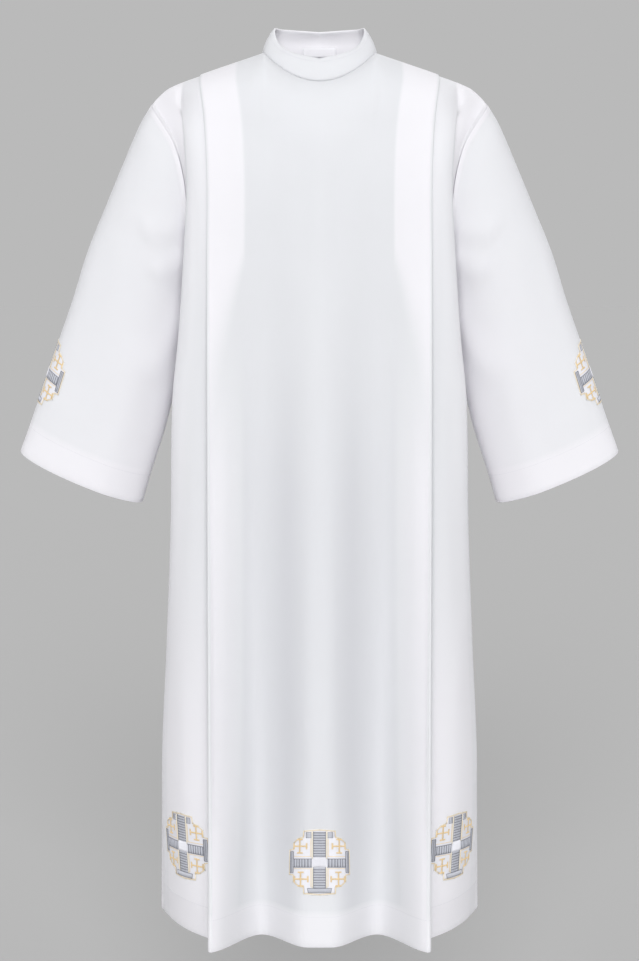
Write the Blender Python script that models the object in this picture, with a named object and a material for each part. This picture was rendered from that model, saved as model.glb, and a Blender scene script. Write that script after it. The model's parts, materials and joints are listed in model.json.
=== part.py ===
"""Alb robe, worn but with no wearer in it: a hollow white robe that hangs from the shoulders.

Metres, +Z up. The robe faces -Y and the wearer's left is +X. The origin is the middle of the neck,
level with the points where the collar meets the shoulder seams, so heights down the robe are negative.

Every piece of cloth is a sheet of points, worked out from the sizes and the tables below, that is
then given its thickness. A turned hem and the folded collar are the same sheet, turned back on itself.
"""
import math
from collections import namedtuple

import bmesh
import bpy
from mathutils import Vector

# ------------------------------------------------------------------ driving dimensions
CLOTH = 0.0012  # thickness of one ply
PLY = 0.0022  # from the middle of one ply to the middle of the next, where they are pressed
SEAM = 0.0008  # between the middles of two edges that are sewn together
GAP = 0.0003  # clearance between two pieces that lie on each other

LENGTH = 1.441  # neck point to hem
HEM = 0.050  # depth of the turned-up hem
PLEAT = 0.058  # depth of the pressed pleat, fold to inner bend
SHOULDER_ROUND = 0.12  # height over which the panels round over the shoulders
LOBE = 0.2  # share of the way from the centre to the trough over which the centre lobe stays level
BEHIND_FOLD = 0.004  # how far outside the pressed fold the cloth beneath it comes out
STRIP_SWELL = 0.08  # how far the cloth beside the fold swells, as a share of its width
BEND_RUN = 0.4  # how far a soft bend runs across, as a share of its depth
BEND_LIMIT = 0.6  # share of the depth beside the side seam that the drape fold may take up

NECK_WIDTH = 0.0921  # half the neck, side to side
NECK_FRONT = 0.078  # how far the neck seam reaches forward
NECK_BACK = 0.060
NECK_DROP = 0.0515  # the seam at the centre front, below the neck points
NECK_RISE = 0.0150  # the seam at the centre back, above them
BACK_SEAM_POWER = 6  # the back neck seam runs flat and then turns down to the neck points
FRONT_LEAN = 20  # degrees that the cloth already hangs at the centre of the neck seam
BACK_LEAN = 35
COLLAR_SWELL = 0.0035  # how far the collar swells between its two edges

ARMHOLE_TOP = -0.0825
UNDERARM = -0.355

MOTIF_RADIUS = 0.0545
MOTIF_CURL = 0.86  # its width seen square on, against its height, where the cloth curves away
MOTIF_HEIGHT = -1.301
MOTIF_THICKNESS = 0.0010
MOTIF_SIDES = 10
SIDE_MOTIF = (0.2229, 0.105)  # the side motifs' middle: sideways, and forwards
SIDE_MOTIF_ACROSS = (0.65, 0.76)  # the way the cloth runs there: sideways, and backwards
SLEEVE_MOTIF = (0.4585, -0.5280)  # the sleeve motifs' middle: sideways, and height
SLEEVE_MOTIF_CURL = 0.80

LABEL_WIDTH = 0.055
LABEL_DROP = 0.015
LABEL_THICKNESS = 0.0008
LABEL_TOP = 0.0005  # how far its top edge stands above the neck seam
LABEL_LEAN = 0.001  # how far it stands off the cloth at the top, and again at the bottom

# ------------------------------------------------------------------ tables
# Seen from above, half of a panel runs from its centre line to its edge: over a broad centre lobe,
# into a trough, out to the fold of the pressed pleat, back under it to the inner bend, out again
# under the fold, round the soft drape fold and so to the armhole or the side seam.
# "out" is a distance outwards from the shoulder line, forwards on the front and backwards on the back.
Section = namedtuple("Section", "height centre trough_x trough fold pleat_open plies_open")
FRONT = (
    Section(-0.120, 0.128, 0.085, 0.120, 0.104, 0.0044, 0.0022),
    Section(-0.210, 0.138, 0.085, 0.132, 0.120, 0.0046, 0.0022),
    Section(-0.340, 0.146, 0.095, 0.133, 0.130, 0.0080, 0.0026),
    Section(-0.470, 0.152, 0.100, 0.129, 0.138, 0.0140, 0.0030),
    Section(-0.660, 0.160, 0.110, 0.125, 0.147, 0.0220, 0.0040),
    Section(-0.900, 0.172, 0.113, 0.122, 0.162, 0.0340, 0.0060),
    Section(-1.200, 0.189, 0.105, 0.131, 0.192, 0.0520, 0.0090),
    Section(-1.441, 0.203, 0.095, 0.142, 0.226, 0.0680, 0.0120),
)
BACK = (
    Section(-0.120, 0.118, 0.095, 0.114, 0.096, 0.0044, 0.0022),
    Section(-0.210, 0.122, 0.095, 0.118, 0.108, 0.0046, 0.0022),
    Section(-0.340, 0.122, 0.098, 0.116, 0.112, 0.0070, 0.0026),
    Section(-0.470, 0.124, 0.100, 0.110, 0.117, 0.0120, 0.0030),
    Section(-0.660, 0.130, 0.104, 0.105, 0.126, 0.0190, 0.0040),
    Section(-0.900, 0.142, 0.106, 0.106, 0.141, 0.0300, 0.0060),
    Section(-1.200, 0.160, 0.100, 0.117, 0.167, 0.0460, 0.0090),
    Section(-1.441, 0.176, 0.094, 0.128, 0.192, 0.0600, 0.0120),
)

# The line of the pressed fold, the same on the front and on the back.
FoldLine = namedtuple("FoldLine", "height x")
FOLD_LINE = (
    FoldLine(-0.044, 0.1944),
    FoldLine(-0.113, 0.1840),
    FoldLine(-0.209, 0.1790),
    FoldLine(-0.340, 0.1795),
    FoldLine(-0.880, 0.1803),
    FoldLine(-1.441, 0.1795),
)

# The soft fold that drapes beside the sleeve and becomes the side of the skirt: where its edge is,
# how far forward of the edge the cloth starts to turn, and how far it tucks back in behind it.
Drape = namedtuple("Drape", "height x out turn tuck")
DRAPE = (
    Drape(-0.083, 0.2240, 0.060, 0.0030, -0.0110),
    Drape(-0.112, 0.2200, 0.078, 0.0030, 0.0020),
    Drape(-0.152, 0.2160, 0.090, 0.0032, 0.0070),
    Drape(-0.223, 0.2130, 0.098, 0.0036, 0.0090),
    Drape(-0.330, 0.2187, 0.098, 0.0046, 0.0100),
    Drape(-0.456, 0.2280, 0.095, 0.0070, 0.0100),
    Drape(-0.562, 0.2390, 0.090, 0.0100, 0.0095),
    Drape(-0.763, 0.2446, 0.075, 0.0140, 0.0050),
    Drape(-0.970, 0.2546, 0.056, 0.0170, 0.0015),
    Drape(-1.181, 0.2655, 0.038, 0.0190, -0.0010),
    Drape(-1.441, 0.2640, 0.028, 0.0220, -0.0060),
)

# The outer edge of a panel: the armhole from the shoulder tip to the underarm, then the side seam.
Edge = namedtuple("Edge", "height x out")
EDGE = (
    Edge(-0.0825, 0.2762, 0.0000),
    Edge(-0.0930, 0.2700, 0.0230),
    Edge(-0.1205, 0.2508, 0.0470),
    Edge(-0.1500, 0.2335, 0.0620),
    Edge(-0.2000, 0.2200, 0.0700),
    Edge(-0.2500, 0.2150, 0.0680),
    Edge(-0.3000, 0.2135, 0.0560),
    Edge(-0.3350, 0.2135, 0.0340),
    Edge(-0.3550, 0.2135, 0.0000),
    Edge(-0.4700, 0.2195, 0.0000),
    Edge(-0.6200, 0.2290, 0.0000),
    Edge(-0.9700, 0.2525, 0.0000),
    Edge(-1.1810, 0.2665, 0.0000),
    Edge(-1.4410, 0.2722, 0.0000),
)

# The top line of a panel beyond the neck.
Shoulder = namedtuple("Shoulder", "x height")
SHOULDER = (
    Shoulder(0.0921, 0.0000),
    Shoulder(0.1962, -0.0350),
    Shoulder(0.2456, -0.0535),
    Shoulder(0.2659, -0.0700),
    Shoulder(0.2762, -0.0825),
)

# A sleeve, from the armhole to the cuff: the outer edge, the inner edge, and half the depth of the
# oval between them. The share says how far a ring still keeps the shape of the armhole.
# The last two rings are the top and the fold of the cuff's turned-up hem.
SleeveRing = namedtuple("SleeveRing", "outer_x outer_z inner_x inner_z depth share")
SLEEVE = (
    SleeveRing(0.2762, -0.0825, 0.2135, -0.3550, 0.072, 1.00),
    SleeveRing(0.2950, -0.1135, 0.2176, -0.3780, 0.073, 0.62),
    SleeveRing(0.3276, -0.1870, 0.2212, -0.4090, 0.070, 0.26),
    SleeveRing(0.3536, -0.2480, 0.2262, -0.4470, 0.066, 0.08),
    SleeveRing(0.3839, -0.3200, 0.2327, -0.4870, 0.062, 0.00),
    SleeveRing(0.4104, -0.4010, 0.2398, -0.5340, 0.058, 0.00),
    SleeveRing(0.4482, -0.5060, 0.2571, -0.6080, 0.052, 0.00),
    SleeveRing(0.4843, -0.6075, 0.2838, -0.6905, 0.046, 0.00),
    SleeveRing(0.5008, -0.6516, 0.2970, -0.7360, 0.044, 0.00),
)
CUFF_LIP = 0.011  # how far the front and back of the cuff hang below its two ends
LIP_RUN = 0.5  # height over which the sleeve's rings come to hang like that
OVAL = 1.25  # 1 is an ellipse, more draws its ends to a soft point

# The stand collar's rim, from the centre front round one side to the centre back.
Rim = namedtuple("Rim", "turn x y height")
RIM = (
    Rim(0.0, 0.0000, -0.0660, -0.0155),
    Rim(36.0, 0.0420, -0.0540, -0.0040),
    Rim(60.0, 0.0655, -0.0300, 0.0120),
    Rim(90.0, 0.0750, 0.0040, 0.0400),
    Rim(126.0, 0.0600, 0.0330, 0.0425),
    Rim(180.0, 0.0000, 0.0450, 0.0400),
)

# ------------------------------------------------------------------ counts
NECK_STEPS = 5  # columns in a quarter of the neck
FRONT_STEPS = 4  # columns from the neck point to the pressed fold, as half_section places them
PLEAT_STEPS = 7  # columns from the pressed fold, round under it, to behind it
ROUND_STEPS = 3  # rows that round over the shoulder
LABEL_STEPS = 6
LEVELS = (-0.250, -0.300, -0.335, UNDERARM, -0.470, -0.620, -0.840, -1.100, -(LENGTH - HEM))
ARMHOLE_ROWS = ROUND_STEPS + 1 + LEVELS.index(UNDERARM)  # the row of a panel at the underarm

# ------------------------------------------------------------------ curves through the tables


def smooth(rows, key, at, column):
    """A column's value at one place of the key column, on a smooth curve through the rows."""
    places = [getattr(row, key) for row in rows]
    values = [getattr(row, column) for row in rows]
    if places[0] > places[-1]:
        places.reverse()
        values.reverse()
    if at <= places[0]:
        return values[0]
    if at >= places[-1]:
        return values[-1]
    upper = next(i for i, place in enumerate(places) if place > at)
    lower = upper - 1
    slopes = []
    for i in (lower, upper):
        before, after = max(i - 1, 0), min(i + 1, len(places) - 1)
        slopes.append((values[after] - values[before]) / (places[after] - places[before]))
    span = places[upper] - places[lower]
    t = (at - places[lower]) / span
    start = values[lower] * (1 + 2 * t) * (1 - t) ** 2 + slopes[0] * span * t * (1 - t) ** 2
    end = values[upper] * t * t * (3 - 2 * t) + slopes[1] * span * t * t * (t - 1)
    return start + end


def ease(t):
    """0 to 1 with a soft start and end."""
    t = min(max(t, 0.0), 1.0)
    return t * t * (3 - 2 * t)


# ------------------------------------------------------------------ the panels


def front_out(rows, x, height):
    """How far out the outermost ply stands at x: centre lobe, trough, pressed fold."""
    centre = smooth(rows, "height", height, "centre")
    trough_x = smooth(rows, "height", height, "trough_x")
    trough = smooth(rows, "height", height, "trough")
    fold = smooth(rows, "height", height, "fold")
    fold_x = smooth(FOLD_LINE, "height", height, "x")
    lobe_x = LOBE * trough_x
    if x < trough_x:
        return centre + (trough - centre) * ease((x - lobe_x) / (trough_x - lobe_x))
    return trough + (fold - trough) * ease((x - trough_x) / (fold_x - trough_x))


def neck_share(share, neck_height):
    """How much of its full drop or rise the neck seam has, at a share of the way to the neck point."""
    return 1 - share ** (BACK_SEAM_POWER if neck_height > 0 else 2)


def top_height(x, neck_height):
    """Height of a panel's top line: the neck seam, then the shoulder seam."""
    if x < NECK_WIDTH:
        return neck_height * neck_share(x / NECK_WIDTH, neck_height)
    return smooth(SHOULDER, "x", x, "height")


def top_out(x, neck_out):
    """How far out of the shoulder line a panel's top line is."""
    if x < NECK_WIDTH:
        return max(neck_out * math.sqrt(1 - (x / NECK_WIDTH) ** 2), SEAM / 2)
    return SEAM / 2


def half_section(rows, height):
    """Half of a panel seen from above: (x, out, ply) from the centre line to the edge.
    The ply is how many plies lie above it where the pleat is pressed flat."""
    fold_x = smooth(FOLD_LINE, "height", height, "x")
    pleat_open = smooth(rows, "height", height, "pleat_open")
    under = smooth(rows, "height", height, "plies_open")
    fold = smooth(rows, "height", height, "fold")
    bend = under / 2
    inner_x = fold_x - math.sqrt(PLEAT**2 - (pleat_open / 2) ** 2)
    inner_out = front_out(rows, inner_x, height) - under

    middle_x = (fold_x + inner_x) / 2
    neck_x = NECK_WIDTH * fold_x / FOLD_LINE[0].x
    places = [neck_x * math.sin(math.pi / 2 * i / NECK_STEPS) for i in range(NECK_STEPS + 1)]
    places += [(neck_x + inner_x) / 2, inner_x + bend, middle_x]
    points = [(x, front_out(rows, x, height), 0.0) for x in places]
    points.append((fold_x - bend, fold, 0.0))

    points.append((fold_x, fold - bend, 0.5))
    points.append((fold_x - bend, fold - under, 1.0))
    points.append((middle_x, front_out(rows, middle_x, height) - under, 1.0))
    points.append((inner_x + bend, inner_out, 1.0))
    points.append((inner_x, inner_out - bend, 1.5))
    points.append((inner_x + bend, inner_out - under, 2.0))

    behind = (fold_x + BEHIND_FOLD, fold - pleat_open)
    share = (middle_x - inner_x - bend) / (behind[0] - inner_x - bend)
    straight = inner_out - under + (behind[1] - inner_out + under) * share
    pressed = front_out(rows, middle_x, height) - 2 * under
    points.append((middle_x, min(straight, pressed), 2.0))
    points.append((*behind, 2.0))

    drape_x = smooth(DRAPE, "height", height, "x")
    drape_out = smooth(DRAPE, "height", height, "out") * drape_share(rows)
    turn = smooth(DRAPE, "height", height, "turn")
    tuck = smooth(DRAPE, "height", height, "tuck")
    edge_x = smooth(EDGE, "height", height, "x")
    edge_out = max(smooth(EDGE, "height", height, "out"), SEAM / 2)
    start = (drape_x - BEND_RUN * turn, drape_out + turn)
    swell = STRIP_SWELL * (start[0] - behind[0])
    points.append(((behind[0] + start[0]) / 2 + swell, (behind[1] + start[1]) / 2 + swell, 2.0))
    points.append((*start, 2.0))
    points.append((drape_x, drape_out, 2.0))
    fall = min(2 * turn, BEND_LIMIT * (drape_out - edge_out))
    points.append((drape_x - BEND_RUN * tuck, drape_out - fall / 2, 2.0))
    back_in = (drape_x - tuck, drape_out - fall)
    points.append((*back_in, 2.0))
    points.append(((back_in[0] + edge_x) / 2, (back_in[1] + edge_out) / 2, 2.0))
    points.append((edge_x, edge_out, 2.0))
    return points


def drape_share(rows):
    """The back is a little shallower than the front, and so is its drape fold."""
    return rows[1].centre / FRONT[1].centre


def panel_columns(rows, facing, neck_out, neck_height, side=1):
    """Half of a panel as columns of points, each from the top line down to the hem's fold."""
    count = len(half_section(rows, -LENGTH))
    columns = []
    for i in range(count):
        column = []
        is_edge = i == count - 1
        x, _, ply = half_section(rows, 0.0)[i]
        top = top_height(x, neck_height) + (1 - ply) * PLY
        if is_edge:
            top = ARMHOLE_TOP
        heights = []
        for step in range(ROUND_STEPS + 1):
            angle = math.pi / 2 * step / ROUND_STEPS
            heights.append(top - SHOULDER_ROUND * (1 - math.cos(angle)))
        heights += [*LEVELS, -LENGTH + PLY / 2]
        for height in heights:
            x, out, _ = half_section(rows, height)[i]
            left = 1 - min((top - height) / SHOULDER_ROUND, 1.0)
            lean = math.radians(FRONT_LEAN if facing < 0 else BACK_LEAN)
            lean *= 1 - min(x / NECK_WIDTH, 1.0) ** 2
            rounding = math.sqrt(1 - (left * math.cos(lean)) ** 2) - math.sin(lean)
            rounding /= 1 - math.sin(lean)
            if not is_edge:
                start = top_out(x, neck_out)
                out = start + (out - start) * rounding
            column.append(Vector((side * x, facing * out, height)))
        columns.append(column)
    return columns


# ------------------------------------------------------------------ sheets of cloth


def normals(columns, closed=False):
    """The direction square to the sheet at each point."""
    count = len(columns)
    found = []
    for i, column in enumerate(columns):
        before = columns[(i - 1) % count] if closed else columns[max(i - 1, 0)]
        after = columns[(i + 1) % count] if closed else columns[min(i + 1, count - 1)]
        line = []
        for j, point in enumerate(column):
            across = (after[j] - point).normalized() + (point - before[j]).normalized()
            down = column[min(j + 1, len(column) - 1)] - column[max(j - 1, 0)]
            line.append(down.cross(across).normalized())
        found.append(line)
    return found


def turn_back(columns, rows_back, inward, closed=False):
    """Turns the last edge of a sheet back against itself: a round fold, then the inner ply.
    inward is 1 or -1, the side of the sheet that the inner ply lies on."""
    turned = []
    for column, line in zip(columns, normals(columns, closed)):
        last, aim = column[-1], line[-1] * inward
        along = (last - column[-2]).normalized()
        fold = last + (along + aim) * PLY / 2
        inner = [column[-1 - k] + line[-1 - k] * inward * PLY for k in range(rows_back + 1)]
        turned.append([*column, fold, *inner])
    return turned


def sheet_mesh(columns, closed=False):
    """A triangulated sheet through columns of points."""
    mesh = bmesh.new()
    across = len(columns) if closed else len(columns) - 1
    down = len(columns[0]) - 1
    bmesh.ops.create_grid(mesh, x_segments=across, y_segments=down, size=1.0)
    for vertex in mesh.verts:
        i = round((vertex.co.x + 1) / 2 * across) % len(columns)
        j = round((1 - vertex.co.y) / 2 * down)
        vertex.co = columns[i][j]
    if closed:
        bmesh.ops.remove_doubles(mesh, verts=mesh.verts, dist=1e-6)
    bmesh.ops.triangulate(mesh, faces=mesh.faces)
    return mesh


def material(name, colour, roughness, metallic=0.0):
    made = bpy.data.materials.new(name)
    made.use_nodes = True
    shader = made.node_tree.nodes["Principled BSDF"]
    shader.inputs["Base Color"].default_value = (*colour, 1.0)
    shader.inputs["Roughness"].default_value = roughness
    shader.inputs["Metallic"].default_value = metallic
    made.diffuse_color = (*colour, 1.0)
    return made


def add_piece(name, mesh, thickness, finish, mirrored=False):
    """Makes the object, and gives the sheet its thickness, half to each side."""
    data = bpy.data.meshes.new(name)
    mesh.to_mesh(data)
    mesh.free()
    data.shade_smooth()
    piece = bpy.data.objects.new(name, data)
    bpy.context.collection.objects.link(piece)
    data.materials.append(finish)
    if mirrored:
        halves = piece.modifiers.new("halves", "MIRROR")
        halves.merge_threshold = 0.00001
    wall = piece.modifiers.new("wall", "SOLIDIFY")
    wall.thickness = thickness
    wall.offset = 0.0
    return piece


# ------------------------------------------------------------------ the sleeves


def armhole(side):
    """The armhole from the shoulder tip down the front to the underarm and up the back."""
    front = panel_columns(FRONT, -1, NECK_FRONT, -NECK_DROP, side)[-1][: ARMHOLE_ROWS + 1]
    back = panel_columns(BACK, 1, NECK_BACK, NECK_RISE, side)[-1][1:ARMHOLE_ROWS]
    ring = [*front, *reversed(back)]
    for i in (0, ARMHOLE_ROWS):
        ring[i].y = 0.0
    return ring


def oval(ring, turn, side):
    """A point of a sleeve's ring: its outer edge at 0, its front at 90, its inner edge at 180."""
    outer = Vector((side * ring.outer_x, 0.0, ring.outer_z))
    inner = Vector((side * ring.inner_x, 0.0, ring.inner_z))
    swing = abs(math.sin(turn)) ** OVAL
    depth = math.copysign(ring.depth * swing, math.sin(turn))
    lip = CUFF_LIP * swing * ease((SLEEVE[0].outer_z - ring.outer_z) / LIP_RUN)
    return (outer + inner) / 2 + (outer - inner) / 2 * math.cos(turn) + Vector((0, -depth, -lip))


def sleeve_columns(side):
    ring = armhole(side)
    outward = Vector((side, 0, 0)) * (SEAM + CLOTH / 2)
    columns = []
    for i, seam in enumerate(ring):
        turn = math.tau * i / len(ring)
        shift = seam + outward - oval(SLEEVE[0], turn, side)
        columns.append([oval(row, turn, side) + shift * row.share for row in SLEEVE])
    return columns


# ------------------------------------------------------------------ the collar and the label


def neck_seam(turn):
    """The neck seam at an angle from the centre front, 90 at the neck point, 180 at the back."""
    forward, sideways = math.cos(turn), math.sin(turn)
    reach, rise = (NECK_FRONT, -NECK_DROP) if forward > 0 else (NECK_BACK, NECK_RISE)
    height = rise * neck_share(abs(sideways), rise)
    return Vector((NECK_WIDTH * sideways, -reach * forward, height))


def collar_columns():
    lift = Vector((0, 0, PLY + CLOTH + GAP))
    columns = []
    for i in range(4 * NECK_STEPS):
        turn = math.tau * i / (4 * NECK_STEPS)
        half = math.degrees(min(turn, math.tau - turn))
        mirror = 1 if turn <= math.pi else -1
        seam = neck_seam(turn) + lift
        rim = Vector(
            (
                mirror * smooth(RIM, "turn", half, "x"),
                smooth(RIM, "turn", half, "y"),
                smooth(RIM, "turn", half, "height"),
            )
        )
        swell = Vector((seam.x, seam.y, 0)).normalized() * COLLAR_SWELL
        columns.append([seam, (seam + rim) / 2 + swell, rim])
    return columns


def label_columns():
    """The label hangs inside the back of the neck, curved as the collar is."""
    inner = NECK_BACK - PLY - CLOTH / 2 - GAP - LABEL_THICKNESS
    columns = []
    for i in range(LABEL_STEPS + 1):
        x = LABEL_WIDTH * (i / LABEL_STEPS - 0.5)
        roundness = 1 - (x / NECK_WIDTH) ** 2
        seam = top_height(abs(x), NECK_RISE)
        top = Vector((x, inner * math.sqrt(roundness) - LABEL_LEAN, seam + LABEL_TOP))
        columns.append([top, top - Vector((0, LABEL_LEAN, LABEL_DROP))])
    return columns


# ------------------------------------------------------------------ the motifs


def motif_mesh(columns, centre, across, up, outside, width=MOTIF_CURL, closed=False):
    """Cuts a round patch out of a copy of the cloth and moves it out of the cloth's face.
    outside is 1 or -1, the side of the sheet that shows."""
    mesh = sheet_mesh(columns, closed)
    for i in range(MOTIF_SIDES):
        angle = math.tau * (i + 0.5) / MOTIF_SIDES
        outward = across * math.cos(angle) / width + up * math.sin(angle)
        reach = across * math.cos(angle) * width + up * math.sin(angle)
        bmesh.ops.bisect_plane(
            mesh,
            geom=[*mesh.verts, *mesh.edges, *mesh.faces],
            plane_co=centre + reach * MOTIF_RADIUS,
            plane_no=outward,
            clear_outer=True,
        )
    bmesh.ops.triangulate(mesh, faces=mesh.faces)
    mesh.normal_update()
    lift = (CLOTH / 2 + GAP + MOTIF_THICKNESS / 2) * outside
    for vertex in mesh.verts:
        on_middle = abs(vertex.co.x) < 1e-6
        vertex.co += vertex.normal * lift
        if on_middle:
            vertex.co.x = 0.0
    return mesh


def lowest_rows(columns):
    """The plain rows of a panel that the skirt's motifs lie on."""
    first = ROUND_STEPS + len(LEVELS) - 1
    return [column[first : first + 3] for column in columns]


# ------------------------------------------------------------------ build

for old in list(bpy.data.objects):
    bpy.data.objects.remove(old)

WHITE = (0.83, 0.84, 0.87)
SILVER_GREY = (0.50, 0.51, 0.54)


def build_panel(name, rows, facing, neck_out, neck_height):
    columns = panel_columns(rows, facing, neck_out, neck_height)
    turned = turn_back(columns, 1, facing)
    for point in turned[0]:
        point.x = 0.0
    for point in turned[-1]:
        point.y = facing * max(facing * point.y, SEAM / 2)
    cloth = material(name + "_cloth", WHITE, 0.85)
    add_piece(name, sheet_mesh(turned), CLOTH, cloth, mirrored=True)


def build_sleeve(name, side):
    columns = sleeve_columns(side)
    turned = turn_back(columns, 1, side, closed=True)
    cloth = material(name + "_cloth", WHITE, 0.85)
    add_piece(name, sheet_mesh(turned, closed=True), CLOTH, cloth)


def build_collar():
    columns = turn_back(collar_columns(), 2, 1, closed=True)
    cloth = material("collar_cloth", WHITE, 0.85)
    add_piece("collar", sheet_mesh(columns, closed=True), CLOTH, cloth)


def build_label():
    woven = material("label_woven", WHITE, 0.7)
    add_piece("label", sheet_mesh(label_columns()), LABEL_THICKNESS, woven)


def build_skirt_motifs():
    thread = material("motif_centre_thread", SILVER_GREY, 0.5)
    columns = lowest_rows(panel_columns(FRONT, -1, NECK_FRONT, -NECK_DROP))
    pressed_fold = NECK_STEPS + FRONT_STEPS
    centre = Vector((0, -FRONT[-1].centre, MOTIF_HEIGHT))
    mesh = motif_mesh(columns[:pressed_fold], centre, Vector((1, 0, 0)), Vector((0, 0, 1)), 1)
    add_piece("motif_centre", mesh, MOTIF_THICKNESS, thread, mirrored=True)
    for name, side in (("motif_left", 1), ("motif_right", -1)):
        thread = material(name + "_thread", SILVER_GREY, 0.5)
        columns = lowest_rows(panel_columns(FRONT, -1, NECK_FRONT, -NECK_DROP, side))
        beside_fold = columns[pressed_fold + PLEAT_STEPS :]
        centre = Vector((side * SIDE_MOTIF[0], -SIDE_MOTIF[1], MOTIF_HEIGHT))
        across = Vector((side * SIDE_MOTIF_ACROSS[0], SIDE_MOTIF_ACROSS[1], 0)).normalized()
        mesh = motif_mesh(beside_fold, centre, across, Vector((0, 0, 1)), side, width=1.0)
        add_piece(name, mesh, MOTIF_THICKNESS, thread)


def build_sleeve_motifs():
    for name, side in (("motif_sleeve_left", 1), ("motif_sleeve_right", -1)):
        thread = material(name + "_thread", SILVER_GREY, 0.5)
        columns = sleeve_columns(side)
        centre = Vector((side * SLEEVE_MOTIF[0], 0, SLEEVE_MOTIF[1]))
        start, end = SLEEVE[5], SLEEVE[7]
        up = Vector((side * (start.outer_x - end.outer_x), 0, start.outer_z - end.outer_z)).normalized()
        across = up.cross(Vector((0, 1, 0)))
        mesh = motif_mesh(columns, centre, across, up, -side, SLEEVE_MOTIF_CURL, closed=True)
        add_piece(name, mesh, MOTIF_THICKNESS, thread)


build_panel("front", FRONT, -1, NECK_FRONT, -NECK_DROP)
build_panel("back", BACK, 1, NECK_BACK, NECK_RISE)
build_sleeve("sleeve_left", 1)
build_sleeve("sleeve_right", -1)
build_collar()
build_label()
build_skirt_motifs()
build_sleeve_motifs()
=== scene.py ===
# %% [markdown]
# # An alb robe
# A long white robe of thin woven cloth, worn over the shoulders, open at the neck, cuffs and hem.
# Its solids come from the packed model and give its size and its box. Each one is replaced by cloth
# of nearly the same form, with many more points, laid threads and a proper finish.

# %% The frame
import json
import math
from collections import namedtuple
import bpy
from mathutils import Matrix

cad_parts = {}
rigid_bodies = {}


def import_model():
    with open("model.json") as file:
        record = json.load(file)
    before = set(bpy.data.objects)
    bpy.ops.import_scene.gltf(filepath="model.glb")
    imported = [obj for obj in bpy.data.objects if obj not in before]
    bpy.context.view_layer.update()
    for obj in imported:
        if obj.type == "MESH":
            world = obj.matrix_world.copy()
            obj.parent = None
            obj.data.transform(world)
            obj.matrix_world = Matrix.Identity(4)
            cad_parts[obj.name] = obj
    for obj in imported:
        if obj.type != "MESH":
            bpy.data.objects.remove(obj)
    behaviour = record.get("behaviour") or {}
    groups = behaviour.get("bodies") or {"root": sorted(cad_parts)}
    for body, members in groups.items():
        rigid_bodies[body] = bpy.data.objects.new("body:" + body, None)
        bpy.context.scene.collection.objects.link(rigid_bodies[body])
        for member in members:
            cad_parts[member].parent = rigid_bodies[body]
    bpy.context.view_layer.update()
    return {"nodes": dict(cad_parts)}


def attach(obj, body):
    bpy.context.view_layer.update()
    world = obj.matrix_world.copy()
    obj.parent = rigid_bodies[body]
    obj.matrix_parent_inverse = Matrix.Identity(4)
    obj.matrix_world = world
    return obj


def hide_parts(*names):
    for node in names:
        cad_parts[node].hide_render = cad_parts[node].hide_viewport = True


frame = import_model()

from types import SimpleNamespace

import bmesh
import bpy
import numpy as np
from mathutils import Matrix, Vector

print("nodes", sorted(frame["nodes"]))

# %% [markdown]
# ## Camera
# A garment is pictured from the front at about chest height, with a long lens so that the hem and
# the collar keep their true widths. The camera looks slightly down, so that the inside of the
# collar shows at the back of the neck and the hem shows as a wave.

# %% Camera
CAMERA_PLACE = (0.0, -3.2, -0.3415)
CAMERA_DOWN = math.radians(6.4468)  # how far below the horizon it looks
CAMERA_LENS = 71.78

camera_data = bpy.data.cameras.new("camera")
camera_data.lens = CAMERA_LENS
camera_data.sensor_width = 36.0
camera = bpy.data.objects.new("camera", camera_data)
camera.location = CAMERA_PLACE
camera.rotation_euler = (math.pi / 2 - CAMERA_DOWN, 0.0, 0.0)
bpy.context.collection.objects.link(camera)
bpy.context.scene.camera = camera
print("camera at", CAMERA_PLACE)

# %% [markdown]
# ## Sizes
# The robe is cut from a front, a back, two sleeves and a stand collar. These are the sizes that the
# solids were made from, with a few eased here since: the panels' lobes and troughs, the sleeves'
# section, the collar's rim and the slope of the back below it. There the cloth stands up to about
# 12 mm off the solids, and the collar's facing has no solid at all.

# %% Sizes
CLOTH = 0.0007  # thickness of the woven cloth
PLY = 0.0022  # from the middle of one ply to the middle of the next, where they are pressed
TURNED = 0.0011  # from the middle of one ply to the next where an edge is turned and sewn
SEAM = 0.0008

LENGTH = 1.441
HEM = 0.050
PLEAT = 0.058
SHOULDER_ROUND = 0.12
LOBE = 0.2
BEHIND_FOLD = 0.004
STRIP_SWELL = 0.08
BEND_RUN = 0.4
BEND_LIMIT = 0.6

NECK_WIDTH = 0.0921
NECK_FRONT = 0.078
NECK_BACK = 0.060
NECK_DROP = 0.0515
NECK_RISE = 0.0150
BACK_SEAM_POWER = 6  # the back neck seam runs flat and then turns down to the neck points
FRONT_LEAN = 20  # degrees that the cloth already hangs at the centre of the neck seam
BACK_LEAN = 60
COLLAR_SWELL = 0.0035

ARMHOLE_TOP = -0.0825
UNDERARM = -0.355

CUFF_LIP = 0.011
LIP_RUN = 0.5
OVAL = 0.95  # how full the sleeve's section is, and 1 is an ellipse

LABEL_WIDTH = 0.055
LABEL_DROP = 0.015
LABEL_TOP = 0.0005
LABEL_LEAN = 0.001

print("length", LENGTH, "m, hem", HEM, "m, pleat", PLEAT, "m")

# %% [markdown]
# ## Tables
# Seen from above, half of a panel runs from its centre line over a broad lobe, into a trough, out
# to the pressed fold, back under it, out again and round the soft drape fold to the armhole or the
# side seam. The tables give that line at a few heights, and smooth curves run between the rows.

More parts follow.
